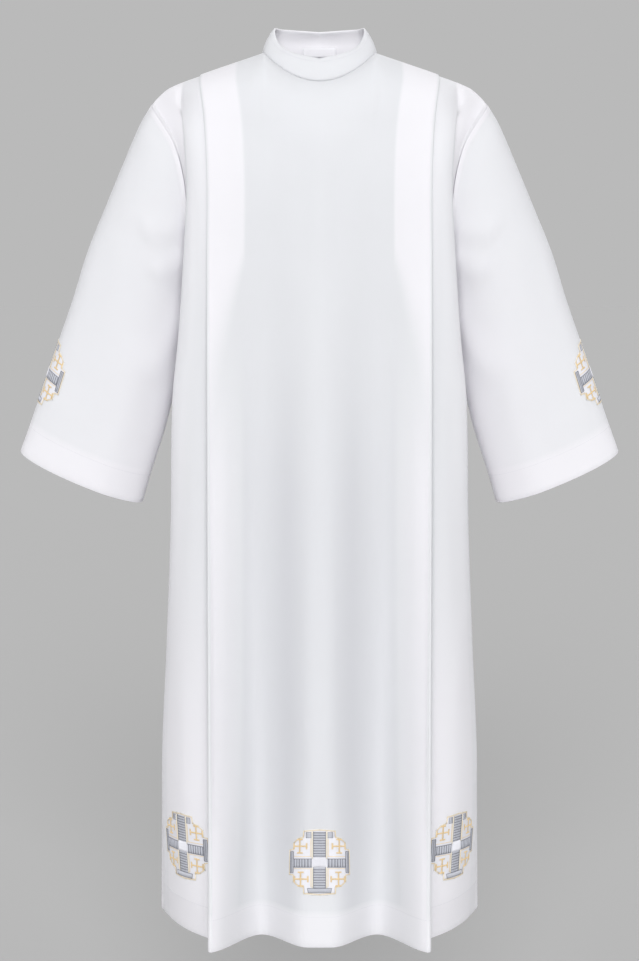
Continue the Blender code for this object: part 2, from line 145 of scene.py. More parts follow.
# %% Tables
Section = namedtuple("Section", "height centre trough_x trough fold pleat_open plies_open")
FRONT = (
    Section(-0.120, 0.128, 0.085, 0.120, 0.104, 0.0044, 0.0022),
    Section(-0.210, 0.138, 0.085, 0.132, 0.120, 0.0046, 0.0022),
    Section(-0.340, 0.146, 0.095, 0.133, 0.130, 0.0080, 0.0026),
    Section(-0.470, 0.152, 0.100, 0.129, 0.138, 0.0140, 0.0030),
    Section(-0.660, 0.160, 0.110, 0.125, 0.147, 0.0220, 0.0040),
    Section(-0.900, 0.172, 0.113, 0.122, 0.162, 0.0340, 0.0060),
    Section(-1.200, 0.189, 0.105, 0.131, 0.192, 0.0520, 0.0090),
    Section(-1.441, 0.203, 0.095, 0.142, 0.226, 0.0680, 0.0120),
)
BACK = (
    Section(-0.120, 0.118, 0.095, 0.114, 0.096, 0.0044, 0.0022),
    Section(-0.210, 0.122, 0.095, 0.118, 0.108, 0.0046, 0.0022),
    Section(-0.340, 0.122, 0.098, 0.116, 0.112, 0.0070, 0.0026),
    Section(-0.470, 0.124, 0.100, 0.110, 0.117, 0.0120, 0.0030),
    Section(-0.660, 0.130, 0.104, 0.105, 0.126, 0.0190, 0.0040),
    Section(-0.900, 0.142, 0.106, 0.106, 0.141, 0.0300, 0.0060),
    Section(-1.200, 0.160, 0.100, 0.117, 0.167, 0.0460, 0.0090),
    Section(-1.441, 0.176, 0.094, 0.128, 0.192, 0.0600, 0.0120),
)

FoldLine = namedtuple("FoldLine", "height x")
FOLD_LINE = (
    FoldLine(-0.044, 0.1944),
    FoldLine(-0.113, 0.1840),
    FoldLine(-0.209, 0.1790),
    FoldLine(-0.340, 0.1795),
    FoldLine(-0.880, 0.1803),
    FoldLine(-1.441, 0.1795),
)

Drape = namedtuple("Drape", "height x out turn tuck")
DRAPE = (
    Drape(-0.083, 0.2240, 0.060, 0.0030, -0.0110),
    Drape(-0.112, 0.2200, 0.078, 0.0030, 0.0020),
    Drape(-0.152, 0.2160, 0.090, 0.0032, 0.0070),
    Drape(-0.223, 0.2130, 0.098, 0.0036, 0.0090),
    Drape(-0.330, 0.2187, 0.098, 0.0046, 0.0100),
    Drape(-0.456, 0.2280, 0.095, 0.0070, 0.0100),
    Drape(-0.562, 0.2390, 0.090, 0.0100, 0.0095),
    Drape(-0.763, 0.2446, 0.075, 0.0140, 0.0050),
    Drape(-0.970, 0.2546, 0.056, 0.0170, 0.0015),
    Drape(-1.181, 0.2655, 0.038, 0.0190, -0.0010),
    Drape(-1.441, 0.2640, 0.028, 0.0220, -0.0060),
)

Edge = namedtuple("Edge", "height x out")
EDGE = (
    Edge(-0.0825, 0.2762, 0.0000),
    Edge(-0.0930, 0.2700, 0.0230),
    Edge(-0.1205, 0.2508, 0.0470),
    Edge(-0.1500, 0.2335, 0.0620),
    Edge(-0.2000, 0.2200, 0.0700),
    Edge(-0.2500, 0.2150, 0.0680),
    Edge(-0.3000, 0.2135, 0.0560),
    Edge(-0.3350, 0.2135, 0.0340),
    Edge(-0.3550, 0.2135, 0.0000),
    Edge(-0.4700, 0.2195, 0.0000),
    Edge(-0.6200, 0.2290, 0.0000),
    Edge(-0.9700, 0.2525, 0.0000),
    Edge(-1.1810, 0.2665, 0.0000),
    Edge(-1.4410, 0.2722, 0.0000),
)

Shoulder = namedtuple("Shoulder", "x height")
SHOULDER = (
    Shoulder(0.0921, 0.0000),
    Shoulder(0.1962, -0.0350),
    Shoulder(0.2456, -0.0535),
    Shoulder(0.2659, -0.0700),
    Shoulder(0.2762, -0.0825),
)

SleeveRing = namedtuple("SleeveRing", "outer_x outer_z inner_x inner_z depth share")
SLEEVE = (
    SleeveRing(0.2762, -0.0825, 0.2135, -0.3550, 0.072, 1.00),
    SleeveRing(0.2950, -0.1135, 0.2176, -0.3780, 0.073, 0.62),
    SleeveRing(0.3276, -0.1870, 0.2212, -0.4090, 0.070, 0.26),
    SleeveRing(0.3536, -0.2480, 0.2262, -0.4470, 0.066, 0.08),
    SleeveRing(0.3839, -0.3200, 0.2327, -0.4870, 0.062, 0.00),
    SleeveRing(0.4104, -0.4010, 0.2398, -0.5340, 0.058, 0.00),
    SleeveRing(0.4482, -0.5060, 0.2571, -0.6080, 0.052, 0.00),
    SleeveRing(0.4843, -0.6075, 0.2838, -0.6905, 0.046, 0.00),
    SleeveRing(0.5008, -0.6516, 0.2970, -0.7360, 0.044, 0.00),
)

Rim = namedtuple("Rim", "turn x y height")
RIM = (
    Rim(0.0, 0.0000, -0.0660, -0.0142),
    Rim(36.0, 0.0420, -0.0540, -0.0040),
    Rim(60.0, 0.0655, -0.0300, 0.0120),
    Rim(90.0, 0.0750, 0.0040, 0.0400),
    Rim(126.0, 0.0610, 0.0400, 0.0435),
    Rim(180.0, 0.0000, 0.0565, 0.0413),
)
print(len(FRONT), "sections,", len(EDGE), "edge places,", len(SLEEVE), "sleeve rings")


# %% [markdown]
# ## Curves
# A smooth curve goes through the rows of a table, with a slope at each row that points from the
# row before to the row after. It works on whole lists of places at once, which is what makes a
# fine mesh quick to work out.

# %% Curves
def smooth(rows, key, at, column):
    """A column's values at places of the key column, on a smooth curve through the rows."""
    places = np.array([getattr(row, key) for row in rows])
    values = np.array([getattr(row, column) for row in rows])
    if places[0] > places[-1]:
        places, values = places[::-1], values[::-1]
    rise = np.append(values[1:], values[-1]) - np.insert(values[:-1], 0, values[0])
    run = np.append(places[1:], places[-1]) - np.insert(places[:-1], 0, places[0])
    slopes = rise / run
    at = np.clip(at, places[0], places[-1])
    lower = np.clip(np.searchsorted(places, at, side="right") - 1, 0, len(places) - 2)
    span = places[lower + 1] - places[lower]
    t = (at - places[lower]) / span
    start = values[lower] * (1 + 2 * t) * (1 - t) ** 2 + slopes[lower] * span * t * (1 - t) ** 2
    end = values[lower + 1] * t * t * (3 - 2 * t) + slopes[lower + 1] * span * t * t * (t - 1)
    return start + end


def ease(t):
    """0 to 1 with a soft start and end."""
    t = np.clip(t, 0.0, 1.0)
    return t * t * (3 - 2 * t)


def between(a, b, t):
    return a + (b - a) * t


def lesser(a, b, softness):
    """The smaller of two values, with the corner between them rounded."""
    return (a + b - np.sqrt((a - b) ** 2 + softness**2)) / 2


print("fold line at mid height", round(float(smooth(FOLD_LINE, "height", -0.7, "x")), 4))

# %% [markdown]
# ## Creases
# Thin cloth is never quite smooth. Each row here is one soft trough or ridge along a line down the
# cloth: where it starts and ends, how wide it is and how deep. They differ in length, depth and
# spacing, and the back has its own, because no two falls of cloth are alike.

# %% Creases
Crease = namedtuple("Crease", "top_x top bottom_x bottom width depth")
FRONT_CREASES = (
    Crease(0.030, -0.120, 0.024, -0.420, 0.012, 0.0012),
    Crease(-0.034, -0.100, -0.026, -0.390, 0.013, 0.0010),
    Crease(0.000, -0.090, 0.003, -0.330, 0.014, -0.0010),
    Crease(0.118, -0.360, 0.112, -0.760, 0.010, 0.0010),
    Crease(-0.121, -0.400, -0.110, -0.820, 0.011, 0.0011),
    Crease(0.152, -0.420, 0.156, -1.300, 0.012, -0.0014),
    Crease(-0.150, -0.450, -0.155, -1.260, 0.012, -0.0012),
    Crease(0.018, -0.620, 0.026, -1.390, 0.013, -0.0016),
    Crease(-0.020, -0.700, -0.024, -1.400, 0.012, -0.0014),
    Crease(0.003, -0.900, -0.004, -1.420, 0.010, 0.0012),
    Crease(0.210, -0.500, 0.236, -1.000, 0.013, 0.0020),
    Crease(-0.208, -0.460, -0.232, -0.920, 0.012, 0.0018),
    Crease(0.196, -0.180, 0.200, -0.480, 0.008, 0.0010),
    Crease(-0.197, -0.200, -0.199, -0.520, 0.008, 0.0011),
    Crease(0.228, -0.900, 0.222, -1.430, 0.014, -0.0016),
    Crease(-0.226, -0.960, -0.224, -1.430, 0.014, -0.0018),
)
BACK_CREASES = (
    Crease(0.040, -0.060, 0.030, -0.380, 0.016, 0.0014),
    Crease(-0.044, -0.070, -0.036, -0.430, 0.015, 0.0012),
    Crease(0.004, -0.050, 0.002, -0.300, 0.016, -0.0012),
    Crease(0.116, -0.330, 0.112, -0.880, 0.012, 0.0012),
    Crease(-0.112, -0.380, -0.116, -0.940, 0.013, 0.0013),
    Crease(0.150, -0.500, 0.153, -1.380, 0.013, -0.0015),
    Crease(-0.151, -0.440, -0.156, -1.320, 0.013, -0.0013),
    Crease(0.022, -0.560, 0.030, -1.400, 0.014, -0.0018),
    Crease(-0.024, -0.640, -0.018, -1.380, 0.013, -0.0015),
    Crease(0.006, -0.820, 0.000, -1.420, 0.011, 0.0012),
    Crease(0.214, -0.480, 0.238, -1.080, 0.013, 0.0020),
    Crease(-0.212, -0.520, -0.234, -1.020, 0.013, 0.0019),
    Crease(0.230, -0.980, 0.224, -1.430, 0.014, -0.0017),
    Crease(-0.228, -0.930, -0.226, -1.430, 0.014, -0.0017),
)
CREASE_END = 0.25  # share of a crease's length over which it fades in, and out


def creased(creases, x, height):
    """How far inwards the creases push the cloth at a place on a panel."""
    shift = np.zeros_like(x)
    for crease in creases:
        t = (crease.top - height) / (crease.top - crease.bottom)
        line_x = between(crease.top_x, crease.bottom_x, np.clip(t, 0, 1))
        along = ease(t / CREASE_END) * ease((1 - t) / CREASE_END)
        shift += crease.depth * along * np.exp(-(((x - line_x) / crease.width) ** 2))
    return shift


print(len(FRONT_CREASES), "front creases,", len(BACK_CREASES), "back creases")


# %% [markdown]
# ## The section of a panel
# The half panel is made of eight stretches of cloth, each with its own simple rule: the neck, the
# chest, the top of the pleat, the pressed fold, the ply beneath, the inner bend, the ply beneath
# that, and the side that runs round the drape fold to the seam. The folds are true half circles,
# so they look rounded from close by.

# %% The section of a panel
STRETCHES = (
    ("neck", 16),
    ("chest", 10),
    ("pleat", 14),
    ("fold", 6),
    ("under", 10),
    ("bend", 6),
    ("outer", 12),
    ("strip", 16),
    ("drape", 25),
)
PLEAT_EDGE = 0.0005  # half the width of the step where the pleat's plies begin
HANG = (-1.36, -1.11)  # between the hem and here, the skirt settles into its own hang
LOBE_RISE = 0.24  # the hang's centre lobe and trough, as shares of the table's depth
TROUGH_FALL = 0.06
TROUGH_SHIFT = 0.05
FLANK_START = 0.3  # softness of the foot of the flank beside the pressed fold
DRAPE_POINTS = 5  # stretches between the points that the drape fold runs through
KNOT_MIN = 1e-6
PRESS_SOFT = 0.0006  # how softly the ply behind the fold comes to lie against the one above


def levels(rows, height):
    """Every value of the tables at one height, or at a list of heights."""
    at = {name: smooth(rows, "height", height, name) for name in Section._fields[1:]}
    at = SimpleNamespace(**at)
    at.fold_x = smooth(FOLD_LINE, "height", height, "x")
    at.hang = ease((height - HANG[0]) / (HANG[1] - HANG[0]))
    at.bend = at.plies_open / 2
    at.inner_x = at.fold_x - np.sqrt(PLEAT**2 - (at.pleat_open / 2) ** 2)
    at.inner_out = face_out(at, at.inner_x + at.bend) - at.plies_open
    at.neck_x = NECK_WIDTH * at.fold_x / FOLD_LINE[0].x
    at.behind_x = at.fold_x + BEHIND_FOLD
    at.behind_out = at.fold - at.pleat_open
    shallower = rows[1].centre / FRONT[1].centre
    at.drape_x = smooth(DRAPE, "height", height, "x")
    at.drape_out = smooth(DRAPE, "height", height, "out") * shallower
    at.turn = smooth(DRAPE, "height", height, "turn")
    at.tuck = smooth(DRAPE, "height", height, "tuck")
    at.edge_x = smooth(EDGE, "height", height, "x")
    at.edge_out = np.maximum(smooth(EDGE, "height", height, "out"), SEAM / 2)
    at.start_x = at.drape_x - BEND_RUN * at.turn
    at.start_out = at.drape_out + at.turn
    return at


def face_out(at, x):
    """How far out the outermost ply stands at x: centre lobe, trough, pressed fold."""
    hollow = (at.centre - at.trough) * at.hang
    centre, trough = at.centre + LOBE_RISE * hollow, at.trough - TROUGH_FALL * hollow
    trough_x = at.trough_x * (1 - TROUGH_SHIFT * at.hang)
    lobe_x = LOBE * trough_x * (1 - at.hang)
    inside = between(centre, trough, ease((x - lobe_x) / (trough_x - lobe_x)))
    t = np.clip((x - trough_x) / (at.fold_x - trough_x), 0, 1)
    flank = between(ease(t), t * t * (1 + FLANK_START) / (t + FLANK_START), at.hang)
    return np.where(x < trough_x, inside, between(trough, at.fold, flank))


def drape_line(at, t):
    """The side of the panel from where the drape fold starts, round it and in to the edge."""
    fall = np.minimum(2 * at.turn, BEND_LIMIT * (at.drape_out - at.edge_out))
    in_x, in_out = at.drape_x - at.tuck, at.drape_out - fall
    swell = STRIP_SWELL * (at.start_x - at.behind_x)
    points = (
        ((at.behind_x + at.start_x) / 2 + swell, (at.behind_out + at.start_out) / 2 + swell),
        (at.start_x, at.start_out),
        (at.drape_x, at.drape_out),
        (at.drape_x - BEND_RUN * at.tuck, at.drape_out - fall / 2),
        (in_x, in_out),
        ((in_x + at.edge_x) / 2, (in_out + at.edge_out) / 2),
        (at.edge_x, at.edge_out),
        (2 * at.edge_x - (in_x + at.edge_x) / 2, at.edge_out - (in_out - at.edge_out) / 2),
    )
    whole = min(int(t * DRAPE_POINTS), DRAPE_POINTS - 1)
    return through(points[whole : whole + 4], t * DRAPE_POINTS - whole)


def through(points, t):
    """A place between the second and third of four points, on a curve that doesn't overshoot."""
    knots = [0.0]
    for a, b in zip(points, points[1:]):
        length = np.sqrt((b[0] - a[0]) ** 2 + (b[1] - a[1]) ** 2)
        knots.append(knots[-1] + np.sqrt(length + KNOT_MIN))
    at = between(knots[1], knots[2], t)
    line = points
    for pairs in (((0, 1), (1, 2), (2, 3)), ((0, 2), (1, 3)), ((1, 2),)):
        shorter = []
        for start, end, (low, high) in zip(line, line[1:], pairs):
            share = (at - knots[low]) / (knots[high] - knots[low])
            shorter.append([between(a, b, share) for a, b in zip(start, end)])
        line = shorter
    return line[0]


def section(at, stretch, t):
    """(x, out, plies above) at a share t of the way along one stretch."""
    if stretch == "neck":
        x = at.neck_x * math.sin(math.pi / 2 * t)
        return x, face_out(at, x), 0.0
    if stretch == "chest":
        x = between(at.neck_x, at.inner_x - PLEAT_EDGE, t)
        return x, face_out(at, x), 0.0
    if stretch == "pleat":
        x = between(at.inner_x + PLEAT_EDGE, at.fold_x - at.bend, t)
        return x, face_out(at, x), 0.0
    if stretch == "fold":
        x = at.fold_x - at.bend + at.bend * math.sin(math.pi * t)
        return x, at.fold - at.bend + at.bend * math.cos(math.pi * t), t
    if stretch == "under":
        x = between(at.fold_x - at.bend, at.inner_x + at.bend, t)
        return x, face_out(at, x) - at.plies_open, 1.0
    if stretch == "bend":
        x = at.inner_x + at.bend - at.bend * math.sin(math.pi * t)
        return x, at.inner_out - at.bend + at.bend * math.cos(math.pi * t), 1.0 + t
    if stretch == "outer":
        x = between(at.inner_x + at.bend, at.behind_x, t)
        straight = between(at.inner_out - at.plies_open, at.behind_out, t)
        pressed = face_out(at, x) - 2 * at.plies_open
        share = math.sin(math.pi * t)
        return x, between(straight, lesser(straight, pressed, PRESS_SOFT), share), 2.0
    if stretch == "strip":
        swell = 4 * t * (1 - t) * STRIP_SWELL * (at.start_x - at.behind_x)
        x = between(at.behind_x, at.start_x, t) + swell
        return x, between(at.behind_out, at.start_out, t) + swell, 2.0
    x, out = drape_line(at, t)
    return x, out, 2.0


low = levels(FRONT, -LENGTH)
print("the fold at the hem", round(float(low.fold_x), 4), "stands", round(float(low.fold), 4))


# %% [markdown]
# ## A panel
# Every place along the section becomes a column of points that starts at the neck or the shoulder
# seam, rounds over the shoulder and falls to the hem. The rows are spaced so that one of them lies
# exactly at the underarm and one at the top of the hem, where other pieces meet the panel.

# %% A panel
ROUND_ROWS = 16
CHEST_ROWS = 20
SKIRT_ROWS = 96
HEM_ROWS = 5
UNDERARM_ROW = ROUND_ROWS + CHEST_ROWS
PRESSED_END = (-0.315, -0.420)  # where the pressed plies start to part, at the pleat's two edges
PRESSED_FADE = np.array((-0.045, -0.230))  # and how far down they have parted
SIDE_PAINTED_LIGHT = 1.0  # painted light: how much whiter the side falls are painted, as they turn from the lamp
STEP = 0.0007  # how far the cloth stands out over the pleat's plies
NECK_SOFT = 0.6  # how soft the neck point becomes at the end of the shoulder's rounding
NECK_REACH = 0.035
VALLEY, VALLEY_WIDE = 0.051, 0.018  # the middle of the soft valley in the skirt, where shade is painted, and its reach
VALLEY_PAINTED_SHADE = 0.33  # painted shade: how much greyer the cloth is painted in the valley, the skirt and the chest
SKIRT_PAINTED_SHADE = 0.22
CHEST_PAINTED_SHADE = 0.15
# painted light on the pleat, whiter as it nears the pressed fold
PLEAT_PAINTED_LIGHT = 0.95
# painted light on the upper side strip
STRIP_PAINTED_LIGHT = 0.4
Change = namedtuple("Change", "height run")  # where a tone begins to change, and over what distance
# where the skirt's painted shade and the pleat's painted light begin, and where the skirt's shade
# ends above the hem
SKIRT_TONE, HEM_TONE = Change(-0.42, 0.33), Change(-1.37, 0.12)
# where painted light begins on the side falls: low down, at the shoulders and along the drape
SIDE_TONE, LOW_SIDE_TONE = Change(-0.25, 0.25), Change(-0.70, 0.55)
SHOULDER_TONE = Change(-0.16, 0.08)
DRAPE_EDGE = Change(0.2, 0.3)  # the same along the drape stretch, in shares of it
CREASE_FADE = 0.045  # creases fade where the panel is nearer than this to the side seam


def neck_share(share, neck_height):
    """How much of its drop or rise the neck seam has, at a share of the way to its end."""
    return 1 - share ** (BACK_SEAM_POWER if neck_height > 0 else 2)


def top_height(x, neck_height):
    """Height of a panel's top line: the neck seam, then the shoulder seam."""
    if x < NECK_WIDTH:
        return neck_height * neck_share(x / NECK_WIDTH, neck_height)
    return float(smooth(SHOULDER, "x", x, "height"))


def top_out(x, neck_out, below):
    """How far out of the shoulder line a panel's top line is, and softer the further below it."""
    inside = 1 - (x / NECK_WIDTH) ** 2
    inside = (inside + np.sqrt(inside**2 + (NECK_SOFT * below) ** 2)) / 2
    return np.maximum(neck_out * np.sqrt(np.maximum(inside, 0)), SEAM / 2)


def share_left(top, x, neck_height, heights):
    """How much of the shoulder's rounding is left, 1 at the top line, with a soft neck point."""
    left = 1 - np.clip((top - heights) / SHOULDER_ROUND, 0, 1)
    for i in np.flatnonzero((left > 0) & (left < 1)):
        reach = NECK_REACH * (1 - left[i])
        near = [top_height(abs(x[i] + part * reach), neck_height) for part in (-1, -0.5, 0, 0.5, 1)]
        soft_top = top + sum(near) / len(near) - near[2]
        left[i] = 1 - np.clip((soft_top - heights[i]) / SHOULDER_ROUND, 0, 1)
    return left


def below(heights, change):
    """0 above a change of tone, and 1 once it is complete further down."""
    return ease((change.height - heights) / change.run)


def above(heights, change):
    return ease((heights - change.height) / change.run)


def painted_light_and_shade(stretch, t, x, heights):
    """How much whiter or greyer the cloth is painted, apart from the pressed pleat: painted shade
    on the chest and the skirt, painted light on the pleat and the side falls.
    """
    skirt = below(heights, SKIRT_TONE)
    # painted shade on the chest, down the skirt and most in its soft valley
    if stretch in ("neck", "chest"):
        valley = np.exp(-(((x - VALLEY) / VALLEY_WIDE) ** 2))
        hem = above(heights, HEM_TONE)
        return -CHEST_PAINTED_SHADE - skirt * (SKIRT_PAINTED_SHADE * hem + VALLEY_PAINTED_SHADE * valley)
    # painted light on the pleat, whiter towards the pressed fold
    if stretch == "pleat":
        return skirt * PLEAT_PAINTED_LIGHT * math.sqrt(t) - CHEST_PAINTED_SHADE * (1 - t)
    # painted light on the side strip
    if stretch == "strip":
        side = between(STRIP_PAINTED_LIGHT, t / 2, below(heights, SIDE_TONE))
        return between(side, 1.0, below(heights, LOW_SIDE_TONE))
    # painted light on the side falls, at the shoulder and towards the side seam
    if stretch == "drape":
        side = (0.5 + min(2 * t, 1) / 2) * below(heights, SIDE_TONE)
        top = above(heights, SHOULDER_TONE)
        edge = float(above(t, DRAPE_EDGE))
        return SIDE_PAINTED_LIGHT * np.maximum(side, np.maximum(top, edge))
    return 0.0


def half_panel(rows, facing, neck_out, neck_height, creases, side):
    """Columns of points from the centre line to one edge, and the painted light and shade of each
    point.
    """
    columns, plies = [], []
    for stretch, steps in STRETCHES:
        for step in range(steps + (stretch == "drape")):
            t = step / steps
            is_edge = stretch == "drape" and step == steps
            x, _, ply = section(levels(rows, 0.0), stretch, t)
            top = ARMHOLE_TOP if is_edge else top_height(x, neck_height) + (1 - ply) * PLY / 2
            angles = np.linspace(0, math.pi / 2, ROUND_ROWS + 1)
            round_end = top - SHOULDER_ROUND
            skirt_end = -(LENGTH - HEM)
            heights = np.concatenate(
                (
                    top - SHOULDER_ROUND * (1 - np.cos(angles)),
                    np.linspace(round_end, UNDERARM, CHEST_ROWS + 1)[1:],
                    np.linspace(UNDERARM, skirt_end, SKIRT_ROWS + 1)[1:],
                    np.linspace(skirt_end, -LENGTH + TURNED / 2, HEM_ROWS + 1)[1:],
                )
            )
            at = levels(rows, heights)
            x, out, _ = section(at, stretch, t)
            pressed = t if stretch == "pleat" else 0.0
            fade = between(*PRESSED_FADE, pressed)
            over = ease(1 - (heights - between(*PRESSED_END, pressed)) / fade)
            over = over * (stretch == "pleat")
            out = out + STEP * over
            out = out - creased(creases, side * x, heights) * ease(out / CREASE_FADE)
            if not is_edge:
                left = share_left(top, x, neck_height, heights)
                lean = np.radians(FRONT_LEAN if facing < 0 else BACK_LEAN)
                lean = lean * (1 - np.minimum(x / NECK_WIDTH, 1) ** 2) ** 2
                rounding = np.sqrt(1 - (left * np.cos(lean)) ** 2) - np.sin(lean)
                rounding /= 1 - np.sin(lean)
                start = top_out(x, neck_out, 1 - left)
                out = start + (out - start) * rounding
            columns.append(np.stack((side * x, facing * out, heights), axis=1))
            # painted light where the pleat's plies lie pressed, with the rest of the painted light
            # and shade
            plies.append(over + painted_light_and_shade(stretch, t, x, heights))
    return np.array(columns), np.array(plies)


def whole_panel(rows, facing, neck_out, neck_height, creases):
    """Both halves of a panel as one grid of columns, from its right edge to its left."""
    right, right_plies = half_panel(rows, facing, neck_out, neck_height, creases, -1)
    left, left_plies = half_panel(rows, facing, neck_out, neck_height, creases, 1)
    points = np.concatenate((right[::-1], left[1:]))
    return points, np.concatenate((right_plies[::-1], left_plies[1:]))


front_points, front_painted_light_and_shade = whole_panel(FRONT, -1, NECK_FRONT, -NECK_DROP, FRONT_CREASES)
back_points, back_painted_light_and_shade = whole_panel(BACK, 1, NECK_BACK, NECK_RISE, BACK_CREASES)
print("front", front_points.shape, "back", back_points.shape)

# %% [markdown]
# ## Cloth as a grid
# A woven sheet is a grid of threads, so it is kept as a grid of points. From it come the direction
# that faces out of the cloth, and the distances along it. Stitches and embroidery can then be
# planned flat, in distances along the cloth, and laid on it wherever it bends.


# %% Cloth as a grid
TINY = 1e-12
LAST_ROW = 1.001  # a place on the last row is taken just short of it


class Cloth:
    """A grid of points, columns first, with its normals and the distances along it."""

    def __init__(self, points, outside=1, closed=False, middle=0):
        self.points, self.closed, self.middle = points, closed, middle
        before = np.roll(points, 1, axis=0)
        after = np.roll(points, -1, axis=0)
        if not closed:
            before[0], after[-1] = points[0], points[-1]
        across = self.unit(after - points) + self.unit(points - before)
        down = np.gradient(points, axis=1)
        self.normals = self.unit(np.cross(down, across)) * outside
        self.across = self.run(points, 0)
        self.across -= self.across[middle]
        self.down = self.run(points, 1)

    @staticmethod
    def unit(vectors):
        return vectors / np.maximum(np.linalg.norm(vectors, axis=-1, keepdims=True), TINY)

    @staticmethod
    def run(points, axis):
        """Distances along the grid, from 0 at its first row or column."""
        steps = np.cumsum(np.linalg.norm(np.diff(points, axis=axis), axis=2), axis=axis)
        return np.insert(steps, 0, 0.0, axis=axis)

    def laid(self, across, down, lift):
        """Points at distances across from the middle column and down it, lifted off the cloth."""
        columns, rows = self.points.shape[:2]
        row = np.interp(down, self.down[self.middle], np.arange(rows))
        row = np.clip(row, 0, rows - LAST_ROW)
        r = row.astype(int)
        part = row - r
        line = between(self.across[:, r], self.across[:, r + 1], part)
        c = np.clip((line <= across).sum(axis=0) - 1, 0, columns - 2)
        each = np.arange(len(across))
        share = (across - line[c, each]) / (line[c + 1, each] - line[c, each])
        share = np.clip(share, 0, 1)[:, None]

        def raised(i, j):
            return self.points[i, j] + self.normals[i, j] * lift[:, None]

        upper = between(raised(c, r), raised(c + 1, r), share)
        lower = between(raised(c, r + 1), raised(c + 1, r + 1), share)
        return between(upper, lower, part[:, None])

    def around(self):
        """Distances across a closed grid, and one more column that joins its end to its start."""
        last, before = self.across[-1:], self.across[-2:-1]
        return np.concatenate((self.across, last + (last - before)))

    def turned_back(self, rows_back, gap=TURNED):
        """The cloth with its last edge turned up inside: a round fold, then the inner ply."""
        points, inward = self.points, -self.normals
        radius = gap / 2
        along = self.unit(points[:, -1] - points[:, -2])
        turned = [points]
        for angle in (math.pi / 4, math.pi / 2, 3 * math.pi / 4):
            fold = along * math.sin(angle) + inward[:, -1] * (1 - math.cos(angle))
            turned.append((points[:, -1] + fold * radius)[:, None])
        inner = points[:, -1 - rows_back :] + inward[:, -1 - rows_back :] * gap
        turned.append(inner[:, ::-1])
        return np.concatenate(turned, axis=1)


front_cloth = Cloth(front_points, 1, middle=len(front_points) // 2)
back_cloth = Cloth(back_points, -1, middle=len(back_points) // 2)
for name, sheet in (("front", front_cloth), ("back", back_cloth)):
    hem_width = sheet.across[-1, -1] - sheet.across[0, -1]
    centre_line = sheet.down[sheet.middle, -1]
    print(name, "hem", round(float(hem_width), 3), "m, centre line", round(float(centre_line), 3))

# %% [markdown]
# ## Making a sheet
# A grid primitive has just the right faces for woven cloth. Each of its points is moved to its
# place on the robe and the map keeps the distances along the cloth in metres. A second value, the
# plies, is painted light and shade: whiter where the cloth is doubled, standing in for the light
# that the plies behind give back, and on the side falls and the sleeves' inner edges, which turn
# from the lamp; greyer as painted shade on the chest, the collar's front and down the skirt, most
# in its soft valleys. How strong that is was given for each place, so it is a tone and not a form.


# %% Making a sheet
WELD = 1e-6


def make_sheet(name, points, plies, across, down, closed=False):
    """A mesh through a grid of points, with a map along the cloth and its plies, the painted light
    and shade.
    """
    mesh = bmesh.new()
    columns, rows = points.shape[:2]
    wide = columns if closed else columns - 1
    bmesh.ops.create_grid(mesh, x_segments=wide, y_segments=rows - 1, size=1.0)
    # the plies value is painted light and shade, which the cloth's finish reads
    share = mesh.verts.layers.float.new("plies")
    cloth_map = mesh.loops.layers.uv.new("cloth")
    places = {}
    for vertex in mesh.verts:
        i = round((vertex.co.x + 1) / 2 * wide)
        j = round((1 - vertex.co.y) / 2 * (rows - 1))
        places[vertex] = (i, j)
    for vertex, (i, j) in places.items():
        vertex.co = points[i % columns, j]
        vertex[share] = plies[i % columns, j]
    for face in mesh.faces:
        for loop in face.loops:
            i, j = places[loop.vert]
            loop[cloth_map].uv = (across[i, j], down[i, j])
    if closed:
        bmesh.ops.remove_doubles(mesh, verts=mesh.verts, dist=WELD)
        bmesh.ops.recalc_face_normals(mesh, faces=mesh.faces)
    return finish_mesh(name, mesh)


def finish_mesh(name, mesh):
    """Turns a bmesh into a smooth-shaded object at the origin."""
    data = bpy.data.meshes.new(name)
    mesh.to_mesh(data)
    mesh.free()
    data.shade_smooth()
    piece = bpy.data.objects.new(name, data)
    bpy.context.collection.objects.link(piece)
    return piece


def thicken(piece, thickness):
    wall = piece.modifiers.new("wall", "SOLIDIFY")
    wall.thickness = thickness
    wall.offset = 0.0


def on_body(piece, finish, slot, *nodes):
    """Gives a piece its finish, fixes it to the robe and hides the solids that it stands for."""
    piece.data.materials.append(finish)
    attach(piece, "root")
    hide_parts(*nodes)


print("the robe's cloth is", CLOTH, "m thick, and a turned edge's plies stand", TURNED, "m apart")


# %% [markdown]
# ## Building finishes
# Each finish is a sum of simple patterns. The small class below wraps a socket, so that a pattern
# can be written as plain arithmetic, and it adds any other node by its type.


# %% Building finishes
class Flow:
    """A value that runs through a material's nodes, and can be used in Python sums."""

    def __init__(self, tree, socket=None):
        self.tree, self.socket = tree, socket

    def node(self, kind, settings=None, links=None, output=0):
        """Adds a node: first its settings, then the values or links of its sockets."""
        made = self.tree.nodes.new(kind)
        for name, value in (settings or {}).items():
            setattr(made, name, value)
        for name, value in (links or {}).items():
            if isinstance(value, Flow):
                self.tree.links.new(value.socket, made.inputs[name])
            else:
                made.inputs[name].default_value = value
        return Flow(self.tree, made.outputs[output] if made.outputs else None)

    def sum(self, operation, *values):
        return self.node("ShaderNodeMath", {"operation": operation}, dict(enumerate(values)))

    def __add__(self, other):
        return self.sum("ADD", self, other)

    def __sub__(self, other):
        return self.sum("SUBTRACT", self, other)

    def __mul__(self, other):
        return self.sum("MULTIPLY", self, other)

    def sine(self):
        return self.sum("SINE", self)

    def feed(self, shader, socket):
        """Runs the value into one of a shader's sockets."""
        self.tree.links.new(self.socket, shader.inputs[socket])

    __rmul__ = __mul__


